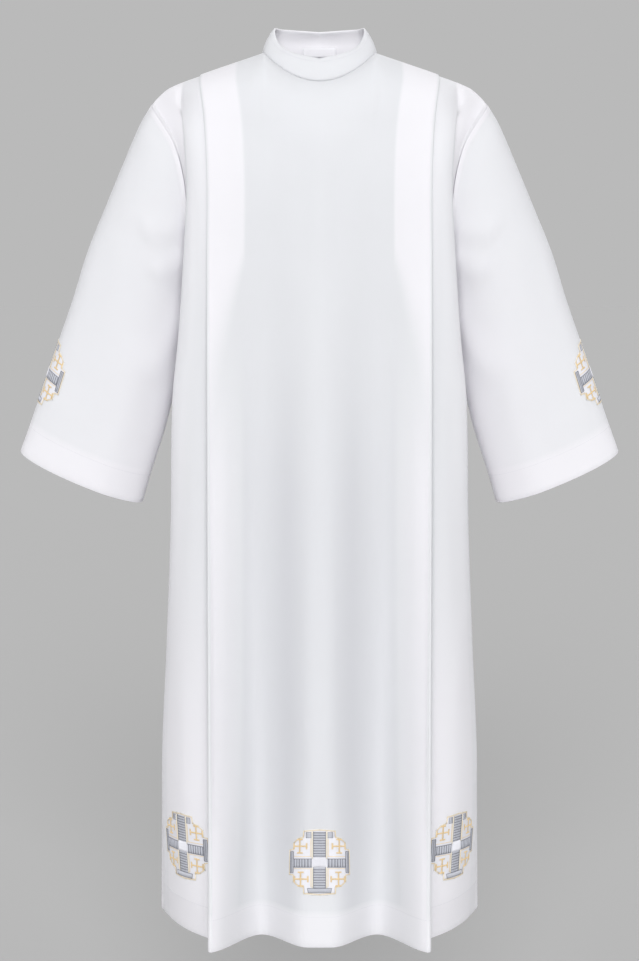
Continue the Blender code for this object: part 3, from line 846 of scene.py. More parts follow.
def new_material(name, **fixed):
    """An empty material and its shader, with the values that are the same all over."""
    made = bpy.data.materials.new(name)
    made.use_nodes = True
    shader = made.node_tree.nodes["Principled BSDF"]
    for socket, value in fixed.items():
        shader.inputs[socket.replace("_", " ")].default_value = value
    return made, shader, Flow(made.node_tree)


def mixed(flow, share, first, second):
    """A colour between two colours."""
    links = {"Factor": share, 6: first, 7: second}
    return flow.node("ShaderNodeMix", {"data_type": "RGBA"}, links, output=2)


def noise(flow, place, scale, detail, **more):
    links = {"Vector": place, "Scale": scale, "Detail": detail, **more}
    return flow.node("ShaderNodeTexNoise", None, links)


def bumped(flow, height, strength, distance):
    links = {"Height": height, "Strength": strength, "Distance": distance}
    return flow.node("ShaderNodeBump", None, links)


def object_place(flow):
    """Places measured on the piece itself."""
    return flow.node("ShaderNodeTexCoord", output=3)


print("a flow can", sorted(name for name in vars(Flow) if not name.startswith("_")))


# %% [markdown]
# ## Woven cloth
# The robe is a plain weave of fine polyester and cotton thread: matt, with a soft bloom where it
# turns away. Two crossed waves make the threads, stretched noise makes the thicker slubs along the
# warp and the weft, and a broad, faint noise lets it lie a little unevenly. The plies paint light
# and shade into the colour: painted light in the pleat, the hems and the side falls, and painted
# shade on the chest and down the skirt.

# %% Woven cloth
THREAD = 0.00055  # from one thread to the next but one
SINGLE_WHITE = (0.850, 0.857, 0.878, 1.0)
# the colour at full painted light, where cloth is doubled or turns from the lamp
PAINTED_LIGHT_WHITE = (0.932, 0.924, 0.952, 1.0)
PAINTED_SHADE_WHITE = (0.745, 0.751, 0.783, 1.0)  # the colour at full painted shade, on the chest and down the skirt
LETS_THROUGH = 0.35  # share of the light that passes into the thread and out behind it
SLUB_CLOSE, SLUB_LONG = 1100.0, 45.0  # slubs to the metre, across their thread and along it
LIE_SCALE, TONE_SCALE = 13.0, 4.5
BUMP_STRENGTH, BUMP_DEPTH = 0.5, 0.0006


def woven(name, thread=THREAD, rough=0.80, unevenness=0.35):
    made, shader, flow = new_material(
        name, Sheen_Weight=0.25, Sheen_Roughness=0.45, Specular_IOR_Level=0.25
    )
    cloth_map = flow.node("ShaderNodeUVMap", {"uv_map": "cloth"})
    split = {"Vector": cloth_map}
    across = flow.node("ShaderNodeSeparateXYZ", None, split, output=0)
    down = flow.node("ShaderNodeSeparateXYZ", None, split, output=1)
    turn = math.tau / thread
    weave = (across * turn).sine() * (down * turn).sine()

    def slubs(wide, long):
        links = {"Vector": cloth_map, "Scale": (wide, long, 1)}
        stretched = flow.node("ShaderNodeMapping", None, links)
        return noise(flow, stretched, 1.0, 3.0, Roughness=0.6)

    slub = slubs(SLUB_CLOSE, SLUB_LONG) + slubs(SLUB_LONG, SLUB_CLOSE)
    place = object_place(flow)
    lie = noise(flow, place, LIE_SCALE, 2.0)
    tone = noise(flow, place, TONE_SCALE, 1.0)
    # painted light where the plies are above 0, and painted shade where they are below it
    plies = flow.node("ShaderNodeAttribute", {"attribute_name": "plies"}, output=2)
    share = plies + (slub - 1.0) * 0.10 + (tone - 0.5) * 0.10 + weave * 0.02
    colour = mixed(flow, share, SINGLE_WHITE, PAINTED_LIGHT_WHITE)
    colour = mixed(flow, -1.0 * plies, colour, PAINTED_SHADE_WHITE)
    height = weave * 0.10 + slub * 0.22 + lie * (unevenness * 10)
    bump = bumped(flow, height, BUMP_STRENGTH, BUMP_DEPTH)
    through = flow.node("ShaderNodeBsdfTranslucent", None, {"Color": colour, "Normal": bump})
    links = {0: LETS_THROUGH, 1: Flow(made.node_tree, shader.outputs[0]), 2: through}
    both = flow.node("ShaderNodeMixShader", None, links)
    both.feed(made.node_tree.nodes["Material Output"], "Surface")
    colour.feed(shader, "Base Color")
    (weave * 0.03 + slub * 0.04 + (rough - 0.04)).feed(shader, "Roughness")
    bump.feed(shader, "Normal")
    return made


robe_cloth = woven("robe_cloth")
collar_cloth = woven("collar_cloth", rough=0.76, unevenness=0.15)
print("finishes", robe_cloth.name, collar_cloth.name)

# %% [markdown]
# ## Front and back
# Each panel is one sheet with its hem turned up 50 mm inside, as it is sewn. The hem is doubled
# cloth, and it is painted whiter, as painted light that stands in for the light its inner ply
# gives back. A panel stands for its solid, so the solid is hidden.

# %% Front and back
HEM_PAINTED_LIGHT = 0.6  # painted light: how much whiter the hem's two plies are painted than one, against the pleat's three


def build_panel(node, sheet, plies):
    points = sheet.turned_back(HEM_ROWS)
    extra = points.shape[1] - sheet.points.shape[1]
    plies[:, -HEM_ROWS - 1 :] = np.maximum(plies[:, -HEM_ROWS - 1 :], HEM_PAINTED_LIGHT)
    plies = np.pad(plies, ((0, 0), (0, extra)), mode="edge")
    whole = Cloth(points, middle=sheet.middle)
    piece = make_sheet(node + "_panel", points, plies, whole.across, whole.down)
    thicken(piece, CLOTH)
    on_body(piece, robe_cloth, "cloth", node)
    return piece


front = build_panel("front", front_cloth, front_painted_light_and_shade)
back = build_panel("back", back_cloth, back_painted_light_and_shade)
print("panels", front.name, back.name)

# %% [markdown]
# ## Sleeves
# A sleeve is a tube that starts at the armhole's own line and settles into a flattened oval that
# ends in a wide cuff. Its hem is turned up 47 mm. The armhole seam is a thick line of doubled
# cloth, and the sleeve carries a few long soft folds that start at the underarm and at the elbow.
# Light is painted into its colour: whiter all over and more at the seam and the cuff, standing in
# for the light that its plies give back, and along its inner edge, which turns from the lamp.

# %% Sleeves
SLEEVE_ROWS = 64
CUFF_ROWS = 5
SLEEVE_SPACING = 1.5  # rows lie closer together beside the armhole seam
ARMHOLE_SEAM = 0.007  # width of the seam's doubled cloth
SLEEVE_PAINTED_LIGHT = 0.25  # painted light: how much whiter the sleeve's two layers are painted than one
SLEEVE_INNER_PAINTED_LIGHT = 0.65  # painted light, and how much more along its inner edge, which turns from the lamp; it rises and starts as follows
INNER_RISE, INNER_START = 1.5, 0.4
# painted light: how much whiter the doubled cuff is painted
CUFF_PAINTED_LIGHT = 0.60
SEAM_RIDGE = 0.0030

SleeveFold = namedtuple("SleeveFold", "start_turn start end_turn end width rise")
SLEEVE_FOLDS = (  # turns in degrees round the sleeve, places as a share of its length
    SleeveFold(150, 0.04, 95, 0.30, 13, 0.0040),
    SleeveFold(128, 0.02, 70, 0.24, 12, 0.0030),
    SleeveFold(165, 0.16, 118, 0.62, 14, 0.0036),
    SleeveFold(52, 0.30, 60, 0.86, 16, -0.0022),
    SleeveFold(105, 0.45, 112, 1.00, 15, 0.0030),
    SleeveFold(-148, 0.05, -98, 0.32, 13, 0.0040),
    SleeveFold(-124, 0.03, -66, 0.26, 12, 0.0030),
    SleeveFold(-160, 0.18, -120, 0.60, 14, 0.0034),
    SleeveFold(-58, 0.34, -64, 0.90, 16, -0.0024),
    SleeveFold(-100, 0.42, -108, 1.00, 15, 0.0032),
)


def oval(ring, turn, side):
    """Points of a sleeve's ring: its outer edge at 0, its front at 90, its inner edge at 180."""
    swing = np.abs(np.sin(turn)) ** OVAL
    outer = np.array((side * ring.outer_x, 0.0, ring.outer_z))
    inner = np.array((side * ring.inner_x, 0.0, ring.inner_z))
    lip = CUFF_LIP * swing * ease((SLEEVE[0].outer_z - ring.outer_z) / LIP_RUN)
    points = (outer + inner) / 2 + (outer - inner) / 2 * np.cos(turn)[:, None]
    points[:, 1] -= ring.depth * swing * np.sign(np.sin(turn))
    points[:, 2] -= lip
    return points


def sleeve_grid(side):
    """Columns round a sleeve that starts and ends at its inner edge, and the turn of each column.
    """
    edge = -1 if side > 0 else 0
    front_edge = front_points[edge, : UNDERARM_ROW + 1]
    back_edge = back_points[edge, 1:UNDERARM_ROW]
    hole = np.concatenate((front_edge, back_edge[::-1]))
    hole[0, 1] = hole[UNDERARM_ROW, 1] = 0.0
    turn = math.tau * np.arange(len(hole)) / len(hole)
    hole[:, 0] += side * CLOTH / 2
    start = SLEEVE[0]
    shift = hole - oval(start, turn, side)
    fall = np.linspace(0, 1, SLEEVE_ROWS + 1) ** SLEEVE_SPACING
    heights = between(start.outer_z, SLEEVE[-2].outer_z, fall)
    cuff = np.linspace(SLEEVE[-2].outer_z, SLEEVE[-1].outer_z, CUFF_ROWS + 1)[1:]
    rings = []
    for height in (*heights, *cuff):
        values = [float(smooth(SLEEVE, "outer_z", height, name)) for name in SleeveRing._fields]
        ring = SleeveRing(*values)
        rings.append(oval(ring, turn, side) + shift * ring.share)
    return np.stack(rings, axis=1), turn


def folded_sleeve(points, turn, side):
    """Pushes the sleeve's soft folds into its surface."""
    flat = Cloth(points, closed=True)
    outward = flat.normals * -side
    degrees = (np.degrees(turn)[:, None] + 180) % 360 - 180
    length = flat.down / flat.down[:, -1:]
    push = np.zeros(points.shape[:2])
    for fold in SLEEVE_FOLDS:
        t = (length - fold.start) / (fold.end - fold.start)
        line = between(fold.start_turn, fold.end_turn, np.clip(t, 0, 1))
        along = ease(t / CREASE_END) * ease((1 - t) / CREASE_END)
        if fold.end >= 1.0:
            along = ease(t / CREASE_END) * (t <= 1)
        push += fold.rise * along * np.exp(-(((degrees - line) / fold.width) ** 2))
    ridge = SEAM_RIDGE * np.exp(-((flat.down / ARMHOLE_SEAM) ** 2)) * np.abs(np.sin(turn))[:, None]
    return points + outward * (ridge + push)[:, :, None]


def build_sleeve(node, side):
    points, turn = sleeve_grid(side)
    points = folded_sleeve(points, turn, side)
    points = np.roll(points, len(points) // 2, axis=0)
    sheet = Cloth(points, outside=-side, closed=True, middle=len(points) // 2)
    inner_edge = np.abs(np.arange(len(points)) - sheet.middle) / sheet.middle
    # painted light along the inner edge, which turns from the lamp
    inner_painted_light = SLEEVE_INNER_PAINTED_LIGHT * ease(inner_edge * INNER_RISE - INNER_START)
    plies = np.full(points.shape[:2], SLEEVE_PAINTED_LIGHT) + inner_painted_light[:, None]
    # painted light on the doubled cloth of the armhole seam
    plies[sheet.down < ARMHOLE_SEAM] = 1.0
    # painted light on the doubled cuff
    plies[:, -CUFF_ROWS - 1 :] += CUFF_PAINTED_LIGHT
    turned = sheet.turned_back(CUFF_ROWS)
    plies = np.pad(plies, ((0, 0), (0, turned.shape[1] - points.shape[1])), mode="edge")
    whole = Cloth(turned, middle=sheet.middle, closed=True)
    down = np.concatenate((whole.down, whole.down[:1]))
    piece = make_sheet(node + "_tube", turned, plies, whole.around(), down, closed=True)
    thicken(piece, CLOTH)
    on_body(piece, robe_cloth, "cloth", node)
    return sheet


sleeves = {}
for node, side in (("sleeve_left", 1), ("sleeve_right", -1)):
    sleeves[node] = build_sleeve(node, side)
    length = float(sleeves[node].down[sleeves[node].middle, -1])
    print(node, "outer edge", round(length, 3), "m")

# %% [markdown]
# ## Collar
# The stand collar is a stiffened band, folded over at its rim and sewn round the neck. It swells a
# little between its two edges and its front is lower than its back, as a clerical collar's is. Its
# inner ply is cut deeper at the back, as a facing, so that no gap shows beneath it in the neck.

# %% Collar
COLLAR_COLUMNS = 120
COLLAR_ROWS = 12
COLLAR_CLOTH = 0.0010
COLLAR_PAINTED_SHADE = -0.15  # painted shade: the outer ply is painted a little greyer than the robe
COLLAR_GAP = 0.0024  # between the collar's two plies, which hold the panels' edges
COLLAR_OVER = 0.0009  # how far the outer ply stands outside the neck seam
COLLAR_ABOVE = 0.0010
COLLAR_FLARE = 0.0004  # how far its lower edge turns out onto the chest
COLLAR_FLARES = 0.45  # share of its height over which it does
FACING = 0.024  # how much deeper the inner ply is cut at the back of the neck
FACING_TURN, FACING_FADE = 100, 30  # degrees from the centre back at which it ends, and fades in
FACING_ROWS = 3


def neck_seam(turn):
    """The neck seam at an angle from the centre front, 90 at the neck point, 180 at the back."""
    forward, sideways = math.cos(turn), math.sin(turn)
    reach, rise = (NECK_FRONT, -NECK_DROP) if forward > 0 else (NECK_BACK, NECK_RISE)
    height = rise * neck_share(abs(sideways), rise)
    return np.array((NECK_WIDTH * sideways, -reach * forward, height))


def collar_grid():
    columns = []
    for i in range(COLLAR_COLUMNS):
        turn = math.tau * i / COLLAR_COLUMNS
        half = math.degrees(min(turn, math.tau - turn))
        rim = np.array([smooth(RIM, "turn", half, name) for name in ("x", "y", "height")])
        rim[0] *= 1 if turn <= math.pi else -1
        outward = neck_seam(turn) * np.array((1, 1, 0))
        outward /= np.linalg.norm(outward)
        seam = neck_seam(turn) + outward * COLLAR_OVER + np.array((0, 0, COLLAR_ABOVE))
        t = np.linspace(0, 1, COLLAR_ROWS + 1)[:, None]
        flare = COLLAR_SWELL * 4 * t * (1 - t) + COLLAR_FLARE * ease(1 - t / COLLAR_FLARES)
        columns.append(between(seam, rim, t) + outward * flare)
    return np.array(columns)


collar_sheet = Cloth(collar_grid(), outside=1, closed=True)
centre = collar_sheet.points.mean(axis=(0, 1))
facing = ((collar_sheet.points - centre) * collar_sheet.normals)[:, :, :2].sum()
collar_sheet.normals *= math.copysign(1.0, facing)
collar_points = collar_sheet.turned_back(COLLAR_ROWS, COLLAR_GAP)
halves = np.abs(np.linspace(0, 360, COLLAR_COLUMNS, endpoint=False) - 180)
deeper = FACING * ease((FACING_TURN - halves) / FACING_FADE)
shares = [(row + 1) / FACING_ROWS for row in range(FACING_ROWS)]
facing_rows = [collar_points[:, -1] - np.outer(deeper * share, (0, 0, 1)) for share in shares]
collar_points = np.concatenate((collar_points, np.stack(facing_rows, axis=1)), axis=1)
collar_whole = Cloth(collar_points, closed=True)
collar_painted_shade_and_light = np.full(collar_points.shape[:2], COLLAR_PAINTED_SHADE)
# painted light on the collar's inner ply and its facing
collar_painted_shade_and_light[:, COLLAR_ROWS + 2 :] = 1.0
collar = make_sheet(
    "collar_band",
    collar_points,
    collar_painted_shade_and_light,
    collar_whole.around(),
    np.concatenate((collar_whole.down, collar_whole.down[:1])),
    closed=True,
)
thicken(collar, COLLAR_CLOTH)
on_body(collar, collar_cloth, "collar_cloth", "collar")
print("collar round its rim", round(float(collar_sheet.across[-1, -1]), 3), "m")

# %% [markdown]
# ## Label
# A small woven label is sewn inside the back of the neck. It is left plain.

# %% Label
LABEL_COLUMNS = 22
LABEL_ROWS = 6
LABEL_THICKNESS = 0.0005
LABEL_INSIDE = 0.0025  # how far it lies inside the panel's ply
LABEL_PLIES = 0.7


def label_grid():
    inner = NECK_BACK - PLY - LABEL_INSIDE
    x = np.linspace(-LABEL_WIDTH / 2, LABEL_WIDTH / 2, LABEL_COLUMNS + 1)
    seam = [top_height(abs(place), NECK_RISE) + LABEL_TOP for place in x]
    top = np.stack((x, inner * np.sqrt(1 - (x / NECK_WIDTH) ** 2) - LABEL_LEAN, seam), axis=1)
    t = np.linspace(0, 1, LABEL_ROWS + 1)[None, :, None]
    return top[:, None] - np.array((0.0, LABEL_LEAN, LABEL_DROP)) * t


label_material = woven("label_weave", thread=0.0004, rough=0.55, unevenness=0.0)
label_sheet = Cloth(label_grid(), outside=1, middle=LABEL_COLUMNS // 2)
label_plies = np.full(label_sheet.points.shape[:2], LABEL_PLIES)
label = make_sheet(
    "label_tape", label_sheet.points, label_plies, label_sheet.across, label_sheet.down
)
thicken(label, LABEL_THICKNESS)
on_body(label, label_material, "label_weave", "label")
print("label", label.name)

# %% [markdown]
# ## Threads
# Machine embroidery is thousands of short shiny threads laid side by side. One thread is a soft
# six-sided rod, coarser than a real one. It is made flat, in a plan that measures across and up
# from the motif's centre, and a row of them is the same thread repeated at even steps, which is how
# satin stitch is sewn.

# %% Threads
THREAD_WIDE = 0.80  # widths in this plan are in millimetres
THREAD_SIDES = 6
SATIN_PITCH = 0.72
THREAD_FLAT = 0.6  # a laid thread is flatter than it is wide
MM = 0.001
LONGEST = 3.2  # a thread bends with the cloth at least this often


def lay_thread(mesh, start, end, width=THREAD_WIDE, pieces=1, height=0.0):
    """One thread from start to end in the flat plan, and everything it is made of."""
    start, end = Vector((*start, height)), Vector((*end, height))
    run = end - start
    before = len(mesh.verts)
    ring = bmesh.ops.create_circle(mesh, cap_ends=False, segments=THREAD_SIDES, radius=width / 2)
    ring = ring["verts"]
    ring = [*ring, *{e for v in ring for e in v.link_edges}]
    step = (0, 0, run.length / pieces)
    bmesh.ops.spin(mesh, geom=ring, dvec=step, axis=(0, 0, 1), steps=pieces)
    mesh.verts.ensure_lookup_table()
    made = mesh.verts[before:]
    ends = [e for e in {e for v in made for e in v.link_edges} if e.is_boundary]
    bmesh.ops.holes_fill(mesh, edges=ends, sides=THREAD_SIDES)
    turned = run.to_track_quat("Z", "Y").to_matrix()
    bmesh.ops.rotate(mesh, cent=(0, 0, 0), matrix=turned, verts=made)
    bmesh.ops.translate(mesh, vec=start, verts=made)
    flat = Vector((1, 1, THREAD_FLAT))
    level = Matrix.Translation((0, 0, -height))
    bmesh.ops.scale(mesh, vec=flat, space=level, verts=made)
    faces = {f for v in made for f in v.link_faces}
    return [*made, *{e for f in faces for e in f.edges}, *faces]


def lay_row(mesh, start, end, step, count, width=THREAD_WIDE, pieces=1, height=0.0):
    """A row of threads: the first one from start to end, the others a step further each."""
    first = lay_thread(mesh, start, end, width, pieces, height)
    if count > 1:
        bmesh.ops.spin(
            mesh,
            geom=first,
            dvec=(*step, 0.0),
            axis=(0, 0, 1),
            steps=count - 1,
            use_duplicate=True,
        )


def lay_satin(mesh, left, right, low, high, along, pitch=SATIN_PITCH, height=0.0):
    """A block of satin stitch whose threads run across it or up it."""
    span, order = ((left, right), (low, high)), 1
    if along == "up":
        span, order = span[::-1], -1
    (start, end), (first, last) = span
    count = round((last - first) / pitch)
    step = (last - first) / count
    pieces = max(1, round((end - start) / LONGEST))
    thread = [(place, first + step / 2)[::order] for place in (start, end)]
    lay_row(mesh, *thread, (0, step)[::order], count, pitch, pieces, height)


def lay_line(mesh, points, width, height=0.0):
    """A line of long stitches through points of the plan."""
    for start, end in zip(points, points[1:]):
        length = math.dist(start, end)
        lay_thread(mesh, start, end, width, max(1, round(length / LONGEST)), height)


print("a thread is", THREAD_WIDE, "mm wide")

# %% [markdown]
# ## The motif's plan
# The motif is a large cross with small ones in its corners, an old ornament of church linen. Its
# arms are silver satin with darker rungs, the small crosses and the edge are pale gold, and the
# ground is white satin. The plan is drawn once, in millimetres, and sewn five times.

# %% The motif's plan
Satin = namedtuple("Satin", "left right low high along")
SILVER_BLOCKS = (
    Satin(-9.4, 9.4, 8.3, 50.8, "across"),
    Satin(-9.4, 9.4, -43.0, -8.6, "across"),
    Satin(-20.0, -12.2, 40.6, 49.6, "across"),
    Satin(12.2, 20.0, 40.6, 49.6, "across"),
    Satin(-17.3, 17.3, -50.6, -43.4, "up"),
    Satin(-42.6, -11.8, -8.6, 5.6, "up"),
    Satin(11.8, 42.6, -8.6, 5.6, "up"),
    Satin(-49.4, -43.0, -17.4, 17.6, "across"),
    Satin(43.0, 49.4, -17.4, 17.6, "across"),
)
RUNG = 4.3  # from one dark rung to the next
SMALL_CROSSES = ((-30.6, 26.6), (30.6, 26.6), (-28.8, -28.0), (28.8, -28.0))
SMALL_REACH = 12.4
SMALL_BAR = 2.3
SMALL_END = 5.2
EDGE_LINE = (
    *((0, 54.4), (24, 52.4), (24.6, 42.2), (34, 39.6)),
    *((43, 32.6), (43.4, 21.6), (51.2, 20.6)),
)
FULL_EDGE = [
    *EDGE_LINE,
    *((x, -y) for x, y in EDGE_LINE[::-1]),
    *((-x, -y) for x, y in EDGE_LINE[1:]),
    *((-x, y) for x, y in EDGE_LINE[:0:-1]),
    EDGE_LINE[0],
]

HIGHER = 0.22  # threads that are sewn over others stand higher
RUNG_WIDE = 1.5
BESIDE_RUNG = 1.06  # the rungs of the side arms lie further apart by this
OUTLINE, END_OUTLINE, MIDDLE_LINE, THIN_LINE, FOOT_LINE = 1.2, 1.2, 1.0, 0.7, 0.8
CREAM_LINE, CREAM_EDGE, GOLD_LINE, GOLD_EDGE = 0.8, 1.4, 0.8, 0.7
GOLD_EDGE_SIZE = 0.975  # the gold edge lies a little inside the cream one
GROUND_CELL = 2.6
GROUND_ACROSS, GROUND_UP = 42, 44  # cells of the ground before it is cut to the edge line
END_BOX = ((43.0, -17.4), (43.0, 17.6), (49.4, 17.6), (49.4, -17.4), (43.0, -17.4))
HEAD_BOX = ((12.2, 40.6), (20.0, 40.6), (20.0, 49.6), (12.2, 49.6))
FOOT_BOX = ((-18.4, -43.2), (18.4, -43.2), (16.8, -50.8), (-16.8, -50.8), (-18.4, -43.2))
GOLD_CORNERS = (
    ((13.2, 38.6), (13.2, 9.4), (41.6, 9.4)),
    ((13.2, -40.6), (13.2, -10.8), (41.6, -10.8)),
)


def lay_sided(mesh, side, points, width, height=0.0):
    """A line on the plan's right side, or the same line on its left."""
    lay_line(mesh, [(side * u, v) for u, v in points], width, height)


PLANS = {name: bmesh.new() for name in ("ground", "silver", "dark", "white", "cream", "gold")}
ground, silver, dark, white, cream, gold = PLANS.values()
for block in SILVER_BLOCKS:
    lay_satin(silver, *block)

for low, count in ((10.2, 10), (-42.6, 8)):
    lay_row(dark, (-9.2, low), (9.2, low), (0, RUNG), count, RUNG_WIDE, pieces=3, height=HIGHER)
for left in (-40.2, 14.0):
    step = (RUNG * BESIDE_RUNG, 0)
    lay_row(dark, (left, -8.2), (left, 5.2), step, 7, RUNG_WIDE, pieces=2, height=HIGHER)
for side in (-1, 1):
    for v in (5.4, -8.4):
        lay_sided(dark, side, ((11.8, v), (42.6, v)), OUTLINE, HIGHER)
    lay_sided(dark, side, END_BOX, END_OUTLINE, HIGHER)
    lay_sided(dark, side, ((46.2, -16.0), (46.2, 16.2)), MIDDLE_LINE, HIGHER)
    for v, length in ((8.2, 42.6), (-43.0, 34.6)):
        lay_sided(dark, side, ((9.4, v), (9.4, v + length)), THIN_LINE, HIGHER)
    lay_sided(dark, side, HEAD_BOX, THIN_LINE, HIGHER)
lay_line(dark, FOOT_BOX, FOOT_LINE, HIGHER)

lay_satin(white, -9.4, 9.4, -8.2, 8.0, "up")
for side in (-1, 1):
    for u in (10.3, 11.0, 11.7):
        lay_sided(cream, side, ((u, 6.0), (u, 51.0)), CREAM_LINE, HIGHER)
        lay_sided(cream, side, ((u, -8.8), (u, -43.0)), CREAM_LINE, HIGHER)
lay_line(cream, FULL_EDGE, CREAM_EDGE)

for side in (-1, 1):
    for corner in GOLD_CORNERS:
        lay_sided(gold, side, corner, GOLD_LINE)
for u, v in SMALL_CROSSES:
    reach, bar, end = SMALL_REACH, SMALL_BAR / 2, SMALL_END
    lay_satin(gold, u - reach, u + reach, v - bar, v + bar, "up", height=HIGHER)
    lay_satin(gold, u - bar, u + bar, v - reach, v + reach, "across", height=2 * HIGHER)
    for side in (-1, 1):
        tip = side * (reach - bar)
        lay_satin(gold, u + tip - bar, u + tip + bar, v - end, v + end, "across", height=HIGHER)
        lay_satin(gold, u - end, u + end, v + tip - bar, v + tip + bar, "up", height=HIGHER)
gold_edge = [(u * GOLD_EDGE_SIZE, v * GOLD_EDGE_SIZE) for u, v in FULL_EDGE]
lay_line(gold, gold_edge, GOLD_EDGE, HIGHER)

bmesh.ops.create_grid(ground, x_segments=GROUND_ACROSS, y_segments=GROUND_UP, size=1.0)
half_ground = (GROUND_ACROSS / 2 * GROUND_CELL, GROUND_UP / 2 * GROUND_CELL, 1)
bmesh.ops.scale(ground, vec=half_ground, verts=ground.verts)


def inside_edge(u, v):
    """True if a place of the plan lies inside the motif's edge line."""
    crossings = 0
    for (u0, v0), (u1, v1) in zip(FULL_EDGE, FULL_EDGE[1:]):
        if (v0 > v) != (v1 > v) and u < between(u0, u1, (v - v0) / (v1 - v0)):
            crossings += 1
    return crossings % 2 == 1


outside = [f for f in ground.faces if not inside_edge(*f.calc_center_median()[:2])]
bmesh.ops.delete(ground, geom=outside, context="FACES")
print({name: len(plan.faces) for name, plan in PLANS.items()})

# %% [markdown]
# ## Thread colours
# Embroidery thread is rayon: smooth, with a soft gleam along each strand. The strands differ a
# little in colour, as dyed thread does, and a fine twist keeps the gleam from being glassy.

# %% Thread colours
STRAND_SCALE, BATCH_SCALE = 900.0, 120.0
DEEP, PALE = 0.86, 1.06  # shares of a thread's colour between which its strands differ
PALEST = 0.98


def thread_finish(name, colour, rough):
    made, shader, flow = new_material(name, Sheen_Weight=0.05, Specular_IOR_Level=0.4)
    place = object_place(flow)
    strand = noise(flow, place, STRAND_SCALE, 2.0)
    batch = noise(flow, place, BATCH_SCALE, 1.0)
    deep = tuple(DEEP * c for c in colour) + (1.0,)
    pale = tuple(min(PALE * c, PALEST) for c in colour) + (1.0,)
    tone = mixed(flow, strand * 0.6 + batch * 0.5, deep, pale)
    twist = bumped(flow, strand, 0.25, 0.0001)
    tone.feed(shader, "Base Color")
    (strand * 0.12 + (rough - 0.06)).feed(shader, "Roughness")
    twist.feed(shader, "Normal")
    return made


THREADS = {
    "ground": thread_finish("white_satin_ground", (0.70, 0.70, 0.745), 0.60),
    "silver": thread_finish("silver_thread", (0.520, 0.535, 0.590), 0.48),
    "dark": thread_finish("slate_thread", (0.205, 0.210, 0.245), 0.50),
    "white": thread_finish("white_thread", (0.78, 0.78, 0.83), 0.50),
    "cream": thread_finish("cream_thread", (0.78, 0.72, 0.60), 0.50),
    "gold": thread_finish("gold_thread", (0.80, 0.61, 0.34), 0.46),
}
print("threads", sorted(THREADS))

# %% [markdown]
# ## Sewing the motifs on
# Each motif is the flat plan laid on the cloth, so it bends with the folds. The one at the centre
# hangs on the middle of the front. The two beside it lie across the soft side folds and lean a
# little outwards at their tops. The sleeve ones wrap round the sleeve's outer edge.

# %% Sewing the motifs on
GROUND_LIFT = CLOTH / 2 + 0.0002
THREAD_LIFT = CLOTH / 2 + 0.0007
GROUND_THICKNESS = 0.0003
LEVELLINGS = 3  # how often the places are put right until their lines are level


def laid_level(sheet, across, down, lift, droop=0.0):
    """Places on a hanging sheet, with level lines kept level where its rows are not."""
    column, runs = sheet.points[sheet.middle], sheet.down[sheet.middle]
    start_y, start_z = (np.interp(down, runs, column[:, axis]) for axis in (1, 2))
    for _ in range(LEVELLINGS):
        places = sheet.laid(across, down, lift)
        down = down + places[:, 2] - start_z + droop * (places[:, 1] - start_y)
    return sheet.laid(across, down, lift)


def plan_places(mesh):
    """The flat plan of a piece of needlework, in metres."""
    return np.array([vertex.co for vertex in mesh.verts]) * MM


def move_to(mesh, places):
    for vertex, place in zip(mesh.verts, places):
        vertex.co = place


def embroider(node, sheet, down, lean=0.0, spread=1.0, mirrored=False, lay=laid_level):
    """Sews the motif on a sheet, centred at a distance down its middle column."""
    turn = np.array(((math.cos(lean), -math.sin(lean)), (math.sin(lean), math.cos(lean))))
    for name, plan in PLANS.items():
        mesh = plan.copy()
        flat = plan_places(mesh)
        turned = flat[:, :2] @ turn.T
        if mirrored:
            turned[:, 0] *= -1
            bmesh.ops.reverse_faces(mesh, faces=mesh.faces)
        lift = flat[:, 2] + (GROUND_LIFT if name == "ground" else THREAD_LIFT)
        move_to(mesh, lay(sheet, turned[:, 0] * spread, down - turned[:, 1], lift))
        piece = finish_mesh(node + "_" + name, mesh)
        if name == "ground":
            thicken(piece, GROUND_THICKNESS)
        on_body(piece, THREADS[name], "embroidery", node)


def down_at(sheet, height):
    """The distance down a sheet's middle column at which it passes a height."""
    column = sheet.points[sheet.middle, :, 2]
    return float(np.interp(-height, -column, sheet.down[sheet.middle]))


MOTIF_HEIGHT = -1.301
SIDE_MOTIF = (0.2229, 0.105)  # across the robe, and out to its front
SIDE_LEAN = math.radians(4.3)
CENTRE_SPREAD = 1.07  # how much wider it is sewn than its plan
CENTRE_DROOP = 0.31  # its arms hang a little as they go back from the lobe
SIDE_SPREAD = 1.2
SLEEVE_MOTIF_HEIGHT = -0.5170

embroider(
    "motif_centre",
    front_cloth,
    down_at(front_cloth, MOTIF_HEIGHT),
    spread=CENTRE_SPREAD,
    lay=lambda *places: laid_level(*places, droop=CENTRE_DROOP),
)
row = int(np.argmin(np.abs(front_points[0, :, 2] - MOTIF_HEIGHT)))
for node, side in (("motif_left", 1), ("motif_right", -1)):
    level = front_points[:, row, :2]
    target = np.array((side * SIDE_MOTIF[0], -SIDE_MOTIF[1]))
    column = int(np.argmin(np.linalg.norm(level - target, axis=1)))
    beside = Cloth(front_points, 1, middle=column)
    down = down_at(beside, MOTIF_HEIGHT)
    embroider(node, beside, down, lean=-side * SIDE_LEAN, spread=SIDE_SPREAD)
for side, name in ((1, "left"), (-1, "right")):
    sheet = sleeves["sleeve_" + name]
    down = down_at(sheet, SLEEVE_MOTIF_HEIGHT)
    embroider("motif_sleeve_" + name, sheet, down, mirrored=side > 0, lay=Cloth.laid)
for plan in PLANS.values():
    plan.free()
sewn = [thing for thing in bpy.data.objects if thing.name.startswith("motif")]
print("sewn", len(sewn), "pieces")

